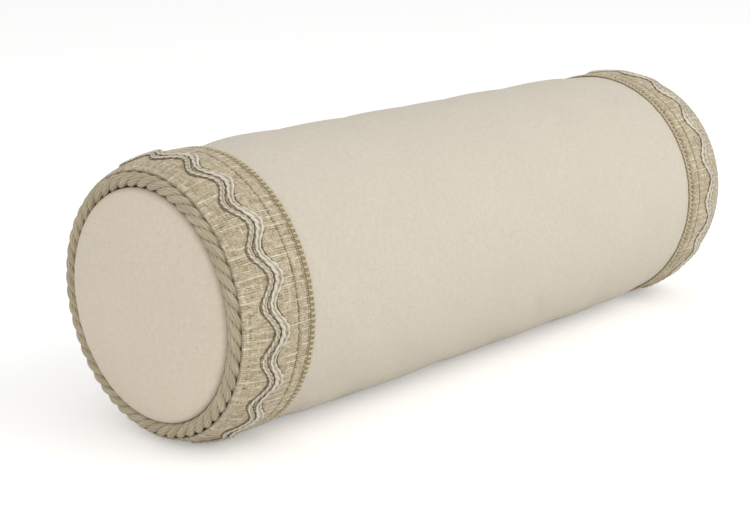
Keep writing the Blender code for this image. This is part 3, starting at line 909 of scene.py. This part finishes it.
def rimStrips(uv, columns):
    # closes the sleeve's two end rims: quads from the outer face's edge to the inner face's
    rows, total = uv.shape[:2]
    span = np.arange(-2, columns + 2)               # two columns into the fold on each side
    outer, inner = span % total, (2 * columns + cover["foldColumns"] - 1 - span) % total
    lists, uvs, totals = [], [], []
    for row, flip in ((0, False), (rows - 1, True)):
        quads = np.stack([outer[:-1], outer[1:], inner[1:], inner[:-1]], axis=-1)
        if flip:
            quads = quads[:, ::-1]
        lists.append((row * total + quads).ravel())
        uvs.append(uv[row, quads].reshape(-1, 2))
        totals.append(np.full(len(quads), 4))
    return {"loops": np.concatenate(lists), "uv": np.concatenate(uvs), "totals": np.concatenate(totals)}


linenBody()
print("Linen body")


# puffed end panels

endPanel = {
    "radius": 73.1 * mm, "height": 9.0 * mm, "power": 4, "hem": 80.3 * mm,
    "rings": 70, "columns": 240, "simRings": 30, "simColumns": 84,
    "pressure": 4.0, "looser": 0.004, "swell": 1.6 * mm, "sink": 0.5 * mm,
    "pucker": 0.35 * mm, "puckerCount": 46, "puckerAt": 0.93, "puckerWidth": 0.06,
    "rough": 0.3 * mm, "calmMiddle": 0.3, "bend": 0.6 * mm, "hemMiddle": 77 * mm, "hemGap": 0.3 * mm,
}


def domeLine(parts, radius, height):
    # a puffed end's outline: x = -height * sqrt(1 - part ^ power)
    x = -height * np.sqrt(np.clip(1 - parts ** endPanel["power"], 0, 1))
    return np.stack([x, radius * parts], axis=-1)


def endSwell(side, parts, angle):
    # how far the end panel stands proud of its outline, from a simulation and the seam's puckers
    rings, columns = endPanel["simRings"], endPanel["simColumns"]
    ringParts = np.sin(np.linspace(0.02, 1, rings) * math.pi / 2)
    around = circle(columns)
    line = domeLine(ringParts, endPanel["radius"], endPanel["height"])
    field = unevenness(around[None, :], ringParts[:, None], 21 + side, around=7, along=3.0)
    rough = endPanel["rough"] * field * (1 - ringParts[:, None] ** 6)
    points = roundAxis(side * (halfSeam - (line[:, :1] - rough)), line[:, 1:], around)
    held = np.zeros((rings, columns), bool)
    held[-2:] = True
    moved = blownUp("end_swelling", points[::-side], held[::-side], True, endPanel)[::-side]
    proud = side * (moved[..., 0] - side * (halfSeam - line[:, :1]))
    print("End swell (mm):", np.round(np.percentile(proud, (1, 50, 99)) / mm, 2))
    wide = np.concatenate([proud[:, -2:], proud, proud[:, :3]], axis=1)
    ringAt = np.interp(parts, ringParts, np.arange(rings))
    columnAt = 2 + angle / turn * columns
    smooth = spline(rings, ringAt) @ wide @ spline(wide.shape[1], columnAt).T
    part = parts[:, None]
    smooth = smooth.mean() + (smooth - smooth.mean()) * step(0, endPanel["calmMiddle"], part)
    edge = 1 - step(0.9, 1.0, part)
    waviest = endPanel["puckerCount"]
    gather = unevenness(angle[None, :], part * 0, 31 + side, around=waviest, along=0.0, count=40)
    pucker = endPanel["pucker"] * gather * bump(part - endPanel["puckerAt"], endPanel["puckerWidth"])
    return capped(smooth, endPanel["sink"], endPanel["swell"]) * edge + pucker * (1 - step(0.97, 1.0, part))


def endLinen(side, word):
    # a closed shell: the puffed face out to the seam, the hem turned in behind the rope, and the inner face
    columns, thick = endPanel["columns"], cover["thickness"]
    flange = pillow["seamDepth"] + thick + endPanel["hemGap"]
    parts = np.sin(np.linspace(0.002, 1, endPanel["rings"]) * math.pi / 2)
    angle = circle(columns)
    swell = endSwell(side, parts, angle)
    outside = domeLine(parts, endPanel["radius"], endPanel["height"])
    inside = domeLine(parts, endPanel["radius"] - thick, endPanel["height"] - thick)
    radius, middle, last = endPanel["radius"], endPanel["hemMiddle"], endPanel["hem"]
    bend, back = endPanel["bend"], flange + thick
    hem = np.array([
        (flange * 0.5, radius), (flange - bend, radius), (flange, radius + bend), (flange, middle),
        (flange, last), (back, last), (back, middle), (back, radius),
        (back - bend, radius - thick), (flange * 0.5, radius - thick),
    ])
    outline = np.vstack([outside, hem, inside[::-1]])
    lift = np.zeros((len(outline), columns))
    lift[:len(outside)] = swell
    lift[-len(inside):] = swell[::-1]
    points = atEnd(side, outline[:, :1] - lift, outline[:, 1:], angle)
    # painted shade in a ring at the panel's rim, beside the rope
    hollow = step(0.96, 1.0, outline[:, 1:] / radius) * 0.25
    part = grid(points, points[..., 1:], caps=True, hollow=hollow)
    makePiece("end_linen_" + word, [part], materials["endLinen"], ["end_panel_" + word])


for side, word in ends:
    endLinen(side, word)
print("End panels")


# twisted rope in each end seam

rope = {
    "circle": 77.9 * mm, "x": 1.3 * mm,
    "plies": 3, "turns": 17, "offset": 2.32 * mm, "ply": 2.5 * mm,
    "stations": 17 * 42, "section": 32,
    "yarns": 7, "yarnDepth": 0.30 * mm, "yarnTurns": 40, "yarnShade": 0.6,
}


def twistedPly(side, k, around, centreX, centreRadius, spec, size=1.0):
    # one ply of a twisted cord laid round the pillow: offset from the cord's middle by a turning vector, with
    # ridges of yarn running round the ply the other way; size makes the cord thicker or thinner on its way
    size = np.broadcast_to(size, around.shape)[:, None]
    phase = turn * k / spec["plies"]
    swing = spec["turns"] * around + phase
    radial = roundAxis(0, 1, around)
    middle = roundAxis(side * (halfSeam - centreX), centreRadius, around)
    flatAcross, flatOut = spec.get("flatAcross", 1.0), spec.get("flatOut", 1.0)
    out = flatOut * np.cos(swing)[:, None] * radial + flatAcross * np.sin(swing)[:, None] * (1, 0, 0)
    line = middle + spec["offset"] * size * out
    tangent = ringTangents(line)
    normal = unit(radial - (radial * tangent).sum(-1, keepdims=True) * tangent)
    across = np.cross(tangent, normal)
    section = circle(spec["section"])
    ridges = np.abs(np.sin(0.5 * (spec["yarns"] * section[None, :] - spec["yarnTurns"] * around[:, None])))
    radius = spec["ply"] * size - spec["yarnDepth"] * (1 - ridges)
    points = (line[:, None, :]
              + (radius * np.cos(section) * spec.get("squashOut", 1.0))[..., None] * normal[:, None, :]
              + (radius * np.sin(section))[..., None] * across[:, None, :])
    fromMiddle = np.linalg.norm(points - middle[:, None, :], axis=-1)
    # painted shade near the cord's middle, between the plies, and in the grooves between yarns
    hollow = 1 - step(spec["offset"] * 0.85, spec["offset"] + spec["ply"] * 0.55, fromMiddle / size)
    hollow = np.clip(hollow + spec.get("yarnShade", 0.3) * (1 - ridges) ** 2, 0, 1)
    u = circle(spec["section"], closed=True) * spec["ply"]
    v = circle(len(around), closed=True) * np.mean(centreRadius) * 1.15
    return grid(pressed(points), (u, v), wrapRows=True, hollow=hollow)


def seamRope(side, word):
    # each ply is a piece of its own
    around = circle(rope["stations"])
    for k in range(rope["plies"]):
        ply = twistedPly(side, k, around, rope["x"], rope["circle"], rope)
        makePiece(f"rope_ply_{k + 1}_{word}", [ply], materials["rope"], ["seam_cord_" + word])


for side, word in ends:
    seamRope(side, word)
print("Ropes")


# woven trim bands

band = {
    "stations": (       # first and last distance in mm, and how many
        (1.5, 1.9, 3), (2.5, 8.3, 9), (9.4, 37.9, 18), (38.7, 41.5, 7), (42.5, 46.2, 4), (46.8, 49.2, 6)),
    "columns": 1920, "thickness": 1.2 * mm, "start": 1.5 * mm, "end": 49.2 * mm,
    "ribs": 400, "ribHeight": 0.20 * mm, "mainRibs": 120, "mainHeight": 0.24 * mm, "mainWidth": 0.36 * mm,
    "holesAt": 6.2 * mm, "holeDepth": 0.8 * mm,
    "grooveAt": 40.2 * mm, "scallop": 0.75 * mm, "grooveDepth": 0.7 * mm, "secondAt": 47.9 * mm,
    "threads": (3.9 * mm, 10.4 * mm, 35.6 * mm, 44.4 * mm),
    "wander": 0.006, "ribCell": 2.3 * mm, "mainCell": 5 * mm,
    "holeWidth": 0.8 * mm, "grooveWidth": 0.5 * mm, "secondWidth": 0.45 * mm,
    "threadWidth": 0.5 * mm, "threadHeight": 0.16 * mm, "threadSway": 0.25 * mm,
    "edgeWidth": 0.9 * mm, "edgeDrop": 0.6 * mm, "mottle": 0.14 * mm, "thinnest": 0.25 * mm,
    "waves": 17, "waveHeight": 4.0 * mm, "waveCrest": math.radians(17.2),
}


def waveSwing(angle):
    # how far the wavy cords have moved towards the middle of the pillow, at an angle round it
    return -band["waveHeight"] * np.cos(band["waves"] * (angle - band["waveCrest"]))


def bandStations():
    # distances from the end seam, closer together at the holes, the grooves and the edges
    return np.concatenate([np.linspace(*stretch) for stretch in band["stations"]]) * mm


def patchy(angle, x, count, cell, seed):
    # a random strength from 0 to 1 for each rib and each stretch along it, blended from stretch to stretch
    dice = np.random.default_rng(seed)
    stretches = dice.uniform(0, 1, (count, int(60 * mm / cell) + 2))
    index = np.round(angle / turn * count).astype(int) % count
    place = x / cell
    low = np.floor(place).astype(int)
    part = place - low
    return stretches[index, low] * (1 - part) + stretches[index, low + 1] * part


def bandRelief(side, angle, x):
    # height over the ground, painted shade (partly the band's own brown) and lighter threads (partly painted
    # highlight on the raised ribs) of the woven band
    seed = 40 + side
    bent = angle + band["wander"] * unevenness(angle, x, seed + 4, around=60, along=110.0, count=30)
    fine = 0.5 + 0.5 * np.cos(band["ribs"] * bent)
    strength = patchy(bent, x, band["ribs"], band["ribCell"], seed + 1)
    pitch = turn / band["mainRibs"]
    fromMain = (np.mod(bent / pitch + 0.5, 1.0) - 0.5) * pitch * bandRadius
    main = bump(fromMain, band["mainWidth"])
    main = main * np.clip(1.7 * patchy(bent, x, band["mainRibs"], band["mainCell"], seed) - 0.35, 0, 1)
    scallops = np.abs(np.sin(band["mainRibs"] / 2 * bent))
    groove = bump(x - (band["grooveAt"] - band["scallop"] * scallops), band["grooveWidth"])
    second = bump(x - (band["secondAt"] - 0.6 * band["scallop"] * scallops), band["secondWidth"])
    broken = np.clip(0.6 + 0.6 * unevenness(angle, 0, seed + 7, around=90, along=0.0, count=40), 0.1, 1)
    spots = (0.5 + 0.5 * np.cos(band["mainRibs"] * 2 * bent)) ** 2
    holes = bump(x - band["holesAt"], band["holeWidth"]) * spots * broken
    around = 0
    for number, at in enumerate(band["threads"]):
        sway = band["threadSway"] * unevenness(angle, 0, seed + 8 + number, around=50, along=0.0)
        shown = 0.5 + 0.7 * unevenness(angle, 0, seed + 20 + number, around=80, along=0.0, count=30)
        around = around + bump(x - at - sway, band["threadWidth"]) * np.clip(shown, 0, 1)
    mottle = unevenness(angle, x, seed + 2, around=130, along=420.0, count=60)
    strip = step(band["grooveAt"] + 0.4 * mm, band["grooveAt"] + 1.4 * mm, x)
    near = np.minimum(x - band["start"], band["end"] - x)
    edge = 1 - step(0, band["edgeWidth"], near)
    relief = (band["ribHeight"] * (1 + 0.6 * strip) * fine * strength + band["mainHeight"] * main
              + band["threadHeight"] * around
              - band["grooveDepth"] * (groove + 0.9 * second) - band["holeDepth"] * holes
              - band["edgeDrop"] * edge + band["mottle"] * mottle)
    # painted shade in grooves, holes, between ribs and at the edges, partly the band's own brown
    hollow = 0.8 * groove + 0.7 * second + 0.95 * holes + 0.55 * (1 - fine) * strength + 0.35 * edge
    hollow = np.clip(hollow - 0.12 * mottle, 0, 1) * (1 - 0.8 * main) * (1 - 0.5 * np.clip(around, 0, 1))
    # lighter threads, partly their own colour and partly painted highlight on the raised ribs
    light = np.clip(1.0 * main + 0.4 * fine * strength ** 2 + 0.45 * around + 0.14 * mottle, 0, 1)
    return relief, hollow, light


def trimBand(side, word):
    # the outer face in relief and a plain inner face, joined into one closed skin
    columns, thick = band["columns"], band["thickness"]
    angle = circle(columns)[None, :]
    x = bandStations()[:, None]
    relief, hollow, light = bandRelief(side, angle, x)
    relief = np.clip(relief, -thick + band["thinnest"], None)
    outer = atEnd(side, x, bandRadius - shoulder(x) + relief, angle)
    back = np.array([[band["end"]], [34 * mm], [16 * mm], [band["start"]]])
    inner = atEnd(side, back, bandRadius - thick - shoulder(back), angle)
    points = np.concatenate([outer, inner])
    plain = np.zeros((len(back), columns))
    u = circle(columns, closed=True) * bandRadius
    v = np.concatenate([x[:, 0], 2 * band["end"] - back[:, 0], [2 * band["end"] - band["start"] + thick]])
    part = grid(points, (u, v), wrapRows=True,
                hollow=np.concatenate([hollow, plain]), light=np.concatenate([light, plain]))
    makePiece("trim_band_woven_" + word, [part], materials["trim"], ["trim_band_" + word])


for side, word in ends:
    trimBand(side, word)
print("Trim bands")


# wavy cords on the bands

waves = {
    "outerAt": 18.7 * mm, "innerAt": 24.5 * mm, "ground": 0.12 * mm,
    "stations": 17 * 56,
    "twistOut": 0.68 * mm, "satinOut": 0.72 * mm, "lineOut": 0.24 * mm,
    "lines": (16.35 * mm, 21.15 * mm, 27.75 * mm), "lineRadius": 0.30 * mm, "lineSection": 7,
    "lineStray": 0.15 * mm, "lineThinnest": 0.08 * mm, "lineThickest": 0.48 * mm,
}
twist = {
    "stations": 84 * 12, "plies": 2, "turns": 84, "offset": 0.82 * mm, "ply": 0.98 * mm,
    "flatOut": 0.3, "squashOut": 0.62,
    "section": 10, "yarns": 3, "yarnDepth": 0.10 * mm, "yarnTurns": 160,
}
silk = {
    "plies": 3, "turns": 41, "offset": 0.95 * mm, "flatAcross": 1.75, "flatOut": 0.32, "ply": 1.12 * mm,
    "squashOut": 0.6, "section": 14, "yarns": 4, "yarnDepth": 0.14 * mm, "yarnTurns": 60, "bulge": 0.24,
}


def twistedWave(side, word):
    # two plies twisted together, following the wave
    around = circle(twist["stations"])
    x = waves["outerAt"] + waveSwing(around)
    radius = bandRadius + waves["ground"] + waves["twistOut"] - shoulder(x)
    parts = [twistedPly(side, k, around, x, radius, twist) for k in range(twist["plies"])]
    makePiece("wave_twist_" + word, parts, materials["satin"], ["wave_cord_outer_" + word])


def satinWave(side, word):
    # three silky plies twisted together and pressed flat, following the wave, thicker at the crests by
    # 1 + bulge * swing / wave height
    around = circle(waves["stations"])
    x = waves["innerAt"] + waveSwing(around)
    radius = bandRadius + waves["ground"] + waves["satinOut"] - shoulder(x)
    size = 1 + silk["bulge"] * waveSwing(around) / band["waveHeight"]
    parts = [twistedPly(side, k, around, x, radius, silk, size) for k in range(silk["plies"])]
    makePiece("wave_satin_" + word, parts, materials["satin"], ["wave_cord_inner_" + word])


def outlineThreads(side, word):
    # three brown threads: before, between and after the two cords, their brown partly painted shade along
    # the cords' edges; their thickness comes and goes
    around, section = circle(waves["stations"])[:, None], circle(waves["lineSection"])[None, :]
    for number, at in enumerate(waves["lines"]):
        seed = 80 + 3 * number + side
        stray = waves["lineStray"] * unevenness(around, 0 * around, seed + 20, around=120, along=0.0)
        x = at + waveSwing(around) + stray
        change = unevenness(around, 0 * around, seed, around=160, along=0.0, count=40)
        size = waves["lineRadius"] * (1 + 0.5 * change)
        size = np.clip(size, waves["lineThinnest"], waves["lineThickest"])
        radius = bandRadius + waves["lineOut"] - shoulder(x)
        points = atEnd(side, x + size * np.sin(section), radius + size * np.cos(section), around)
        u = circle(waves["lineSection"], closed=True) * waves["lineRadius"]
        v = circle(waves["stations"], closed=True) * bandRadius
        part = grid(points, (u, v), wrapRows=True, hollow=0.0)
        makePiece(f"wave_outline_{number + 1}_{word}", [part], materials["outline"])


for side, word in ends:
    twistedWave(side, word)
    satinWave(side, word)
    outlineThreads(side, word)
print("Wavy cords")


# picot edging

picot = {
    "loops": 162, "perLoop": 16, "section": 6, "yarn": 0.58 * mm,
    "middle": 51.5 * mm, "swing": 1.5 * mm, "lean": 1.6, "out": 1.1 * mm, "lift": 0.22 * mm,
    "tapeColumns": 720,
    "tapeStart": 49.5 * mm, "tapeEnd": 53.2 * mm, "tapeLow": 0.35 * mm, "tapeHigh": 0.95 * mm,
}


def picotEdge(side, word):
    # a chain of small loops on a narrow tape: the yarn runs round as angle + a * sin(n * angle), and in and
    # out as cos(n * angle)
    count = picot["loops"] * picot["perLoop"]
    t = circle(count)[:, None]
    around = t + picot["lean"] / picot["loops"] * np.sin(picot["loops"] * t)
    uneven = 1 + 0.16 * unevenness(t, 0 * t, 120 + side, around=200, along=0.0, count=40)
    x = picot["middle"] + picot["swing"] * np.cos(picot["loops"] * t) * uneven
    lift = picot["lift"] * np.sin(picot["loops"] * t)
    radius = bodyRadius + picot["out"] + lift - shoulder(x)
    line = atEnd(side, x, radius, around)[:, 0]
    tangent = ringTangents(line)
    out = line * (0, 1, 1) - (0, 0, axisHeight)
    out = unit(out - (out * tangent).sum(-1, keepdims=True) * tangent)
    section = circle(picot["section"]) + turn / picot["section"] / 2
    points = tube(line, picot["yarn"], out, np.cross(tangent, out), section)
    u = np.arange(picot["section"] + 1) * 0.6 * mm
    v = np.arange(count + 1) * 0.7 * mm
    yarn = grid(points, (u, v), wrapRows=True, hollow=0.0)
    makePiece("picot_loops_" + word, [yarn], materials["picot"], ["picot_edge_" + word])

    # the tape under the loops: its brown is partly its own and partly painted shade from the loops over it
    columns = picot["tapeColumns"]
    first, last, low, high = (picot["tape" + key] for key in ("Start", "End", "Low", "High"))
    corners = np.array([(first, low), (first, high), (picot["middle"], high), (last, high), (last, low)])
    tapeX = corners[:, :1]
    tape = atEnd(side, tapeX, bodyRadius + corners[:, 1:] - shoulder(tapeX), circle(columns))
    u = circle(columns, closed=True) * bodyRadius
    tapePart = grid(tape, (u, np.arange(6) * 1.5 * mm), wrapRows=True, hollow=0.0)
    makePiece("picot_tape_" + word, [tapePart], materials["picotTape"])


for side, word in ends:
    picotEdge(side, word)
print("Picot edges")


# zip chain: tapes, coils, stops and stitching

zipChain = {
    "tapeHalf": 185 * mm, "tapeInner": 0.65 * mm, "tapeOuter": 14 * mm,
    "tapeLow": 86.9 * mm, "tapeHigh": 87.4 * mm,
    "coilHalf": 170.3 * mm, "pitch": 1.4 * mm, "wire": 0.33 * mm,
    "coilAcross": 1.71 * mm, "coilReach": 0.96 * mm,
    "coilOut": 88.5 * mm, "coilHeight": 0.47 * mm, "perTurn": 10,
    "stitchHeight": 89.22 * mm, "stitchAcross": (1.35 * mm, 2.25 * mm), "thread": 0.12 * mm,
    "hemAcross": 6.9 * mm, "hemHalf": 178.6 * mm, "hemPitch": 3.1 * mm,
    "hemStitch": 2.5 * mm, "hemThread": 0.22 * mm,
    "bevel": 0.14 * mm, "bevelAngle": 35, "bevelSteps": 3, "weld": 0.01 * mm,
    "tapeRows": 160, "tapeColumns": 14, "tapeWave": 0.06 * mm,
}


def zipTape(way, word):
    # a woven tape following the cover's inner face: a thin closed section swept along the zip, a bit uneven
    low, high = zipChain["tapeLow"], zipChain["tapeHigh"]
    first, last = zipChain["tapeInner"], zipChain["tapeOuter"]
    flat = np.linspace(first + 0.12 * mm, last - 0.12 * mm, zipChain["tapeColumns"])
    across = np.concatenate([flat, [last, last], flat[::-1], [first, first]])
    edge = low + (high - low) * np.array([0.7, 0.3])
    out = np.concatenate([0 * flat + high, edge, 0 * flat + low, edge[::-1]])
    x = np.linspace(-zipChain["tapeHalf"], zipChain["tapeHalf"], zipChain["tapeRows"])[:, None]
    wave = zipChain["tapeWave"] * np.sin(x / (23 * mm) + across / (4 * mm)) * step(4 * mm, 9 * mm, across)
    angle = zipAngle + way * across / high
    radius = out + wave
    points = stacked(x, radius * np.cos(angle), radius * np.sin(angle) + axisHeight)
    u = np.concatenate([across, [first - 0.3 * mm]])
    part = grid(points, (u, x[:, 0]), caps=True, hollow=0.0)
    makePiece("zip_tape_woven_" + word, [part], materials["zipTape"], ["zipper_tape_" + word])


def zipCoil(way, word):
    # a flattened helix of wire: across = reach * cos, out = height * sin, one turn per pitch; beads of sewing
    # thread run along its top
    half, pitch = zipChain["coilHalf"], zipChain["pitch"]
    turns = int(2 * half / pitch)
    t = np.arange(turns * zipChain["perTurn"] + 1) / zipChain["perTurn"]
    phase = t * turn
    along = -half + pitch * (t + (0.5 if way > 0 else 0.0))
    across = way * (zipChain["coilAcross"] - zipChain["coilReach"] * np.cos(phase))
    out = zipChain["coilOut"] + zipChain["coilHeight"] * np.sin(phase)
    line = onZip(along, across, out)
    tangent = unit(np.gradient(line, axis=0))
    normal = unit(np.cross(tangent, (1.0, 0.0, 0.0)))
    wire = tube(line, zipChain["wire"], normal, np.cross(tangent, normal), circle(5))
    parts = [grid(wire, (np.arange(6) * 0.4 * mm, t * 4 * mm), caps=True, hollow=0.0)]
    for at in zipChain["stitchAcross"]:
        run = np.linspace(-half, half, turns * 4)
        thick = zipChain["thread"] * (1 + 0.5 * np.cos(turn * run / pitch))[:, None]
        ring = circle(5)[None, :]
        out = zipChain["stitchHeight"] + thick * np.sin(ring)
        bead = onZip(run[:, None], way * at + thick * np.cos(ring), out)
        # the stitch beads take the thread's own lighter colour through the shade-and-stitch value
        parts.append(grid(bead, (np.arange(6) * 0.2 * mm, run), caps=True, hollow=0.6))
    makePiece("zip_coil_" + word, parts, materials["zipCoil"], ["zipper_coil_" + word])


def hemStitches():
    # short lengths of thread on the linen round the zip's slot, each a bowed capsule that dips in at its ends
    run = np.linspace(-1, 1, 7)[:, None]
    ring = circle(6)[None, :]
    thick = zipChain["hemThread"] * (1 - 0.6 * run ** 6)
    bow = zipChain["hemThread"] * (0.7 - 1.5 * run ** 4)
    points = stacked(run * zipChain["hemStitch"] / 2, thick * np.cos(ring), bow + thick * np.sin(ring))
    stitch = grid(points, (np.arange(7) * 0.2 * mm, run[:, 0] * mm), caps=True, hollow=0.0)
    half, wide, pitch = zipChain["hemHalf"], zipChain["hemAcross"], zipChain["hemPitch"]
    long = np.arange(-int(half / pitch), int(half / pitch) + 1) * pitch
    short = np.array([-1.5, -0.5, 0.5, 1.5]) * pitch
    x = np.concatenate([long, long, 0 * short + half, 0 * short - half])
    across = np.concatenate([0 * long + wide, 0 * long - wide, short, short])
    turned = np.concatenate([0 * long, 0 * long, 0 * short + 1, 0 * short + 1])
    angle = zipAngle + across / bodyRadius
    out = stacked(0, np.cos(angle), np.sin(angle))
    tangent = stacked(0, -np.sin(angle), np.cos(angle))
    first = np.where(turned[:, None] > 0, tangent, (1.0, 0.0, 0.0))
    second = np.cross(out, first)
    origins = stacked(x, 0, axisHeight) + bodyRadius * out
    part = copies(stitch, origins, np.stack([first, second, out], axis=1))
    makePiece("hem_stitches", [part], materials["picot"])


def metalParts():
    # the stops, the slider and the pull keep their own shapes, with their corners rounded off
    for name in ("top_stop_upper", "top_stop_lower", "bottom_stop", "slider", "pull"):
        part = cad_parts["zipper_" + name]
        part.data.materials.clear()
        part.data.materials.append(materials["brass"])
        weld = part.modifiers.new("Weld", "WELD")
        weld.merge_threshold = zipChain["weld"]
        bevel = part.modifiers.new("Bevel", "BEVEL")
        bevel.width = zipChain["bevel"]
        bevel.segments = zipChain["bevelSteps"]
        bevel.limit_method = "ANGLE"
        bevel.angle_limit = math.radians(zipChain["bevelAngle"])
        bevel.harden_normals = True


for way, word in ((1, "upper"), (-1, "lower")):
    zipTape(way, word)
    zipCoil(way, word)
hemStitches()
metalParts()
print("Zip")


# insert: ticking case, batting and foam core; and the cords' lip tapes

filling = {
    "radius": 85.4 * mm, "start": 9.4 * mm, "ticking": 0.7 * mm, "gap": 0.3 * mm,
    "domeRadius": 71.7 * mm, "domeHeight": 7.6 * mm, "columns": 180,
    "caseRumple": 0.5 * mm, "battingRumple": 0.8 * mm, "battingGap": 0.5 * mm, "rimGap": 0.6 * mm,
    "battingStart": 10.5 * mm, "coreRadius": 60 * mm, "coreBulge": 6.1 * mm, "coreShort": 0.5 * mm,
    "lipInner": 73.7 * mm, "lipOuter": 80.3 * mm, "lipAt": 6.0 * mm, "lip": 0.5 * mm,
}


def lengthwise(start, radius):
    # (x, radius) stations from one end to the other, closer together over the shoulders
    half = np.concatenate([np.linspace(start, 40 * mm, 12), np.linspace(40 * mm, halfSeam, 22)[1:]])
    x = np.concatenate([half, 2 * halfSeam - half[-2::-1]])
    return np.stack([x, radius - shoulder(np.minimum(x, 2 * halfSeam - x))], axis=-1)


def rumpled(outline, size, seed, around):
    # a small random change of radius for every point of a shell, always inwards
    angle = circle(filling["columns"])[None, :]
    field = unevenness(angle, outline[:, :1], seed, around=around, along=70.0, count=30)
    return -size * (0.5 + 0.5 * np.tanh(field))


def insertCase():
    # a closed ticking tube, and a closed puffed shell at each end of it
    thick, start, radius = filling["ticking"], filling["start"], filling["radius"]
    outline = np.vstack([lengthwise(start, radius), lengthwise(start, radius - thick)[::-1]])
    lift = rumpled(outline, filling["caseRumple"], 200, 16)
    half = len(outline) // 2
    lift[half:] = lift[half - 1::-1]
    case = turnedShell(-1, outline, filling["columns"], lift + 0.2 * mm, hollow=0.0)
    makePiece("ticking_tube", [case], materials["ticking"], ["insert_tube"])
    rim = radius - thick - filling["gap"] - filling["rimGap"] - shoulder(start)
    parts = np.sin(np.linspace(0.01, 1, 24) * math.pi / 2)
    for side, word in ends:
        outside = domeLine(parts, filling["domeRadius"], filling["domeHeight"])
        inside = domeLine(parts, filling["domeRadius"] - thick, filling["domeHeight"] - thick)
        hem = np.array([(start, filling["domeRadius"] + 0.4 * mm), (start, rim), (start + thick, rim),
                        (start + thick, filling["domeRadius"] - thick)])
        outline = np.vstack([outside, hem, inside[::-1]])
        end = turnedShell(side, outline, filling["columns"], hollow=0.0)
        name, node = "ticking_end_" + word, "insert_end_" + word
        makePiece(name, [end], materials["ticking"], [node])


def insertFilling():
    # the batting is a thick closed tube, and the core a cylinder whose ends bulge by 1 - part ^ 8
    start, core = filling["battingStart"], filling["coreRadius"]
    inset = filling["ticking"] + filling["gap"] + filling["battingGap"]
    outer = lengthwise(start, filling["radius"] - inset)
    bore = outer[::-1] * (1, 0) + (0, core + filling["gap"])
    outline = np.vstack([outer, bore])
    lift = rumpled(outline, filling["battingRumple"], 210, 40)
    lift[len(outer):] = 0
    wrap = turnedShell(-1, outline, filling["columns"], lift, hollow=0.0)
    makePiece("batting_layers", [wrap], materials["batting"], ["batting_wrap"])
    parts = np.sin(np.linspace(0.01, 1, 20) * math.pi / 2)
    bulge = filling["coreShort"] + (filling["coreBulge"] - filling["coreShort"]) * (1 - parts ** 8)
    near = np.stack([-bulge, core * parts], axis=-1)
    straight = np.stack([np.linspace(2 * mm, 2 * halfSeam - 2 * mm, 40), np.full(40, core)], axis=-1)
    outline = np.vstack([near, straight, (near * (-1, 1) + (2 * halfSeam, 0))[::-1]])
    block = turnedShell(-1, outline, filling["columns"], hollow=0.0)
    makePiece("foam_block", [block], materials["foam"], ["foam_core"])


def lipTape(side, word):
    # a flat ring behind the rope
    near = np.array([(filling["lipAt"], filling["lipInner"]), (filling["lipAt"], 77 * mm),
                     (filling["lipAt"], filling["lipOuter"])])
    outline = np.vstack([near, near[::-1] + (filling["lip"], 0)])
    ring = turnedShell(side, outline, 240, hollow=0.0)
    makePiece("lip_tape_" + word, [ring], materials["ticking"], ["cord_lip_" + word])


insertCase()
insertFilling()
for side, word in ends:
    lipTape(side, word)
print("Insert and lip tapes")
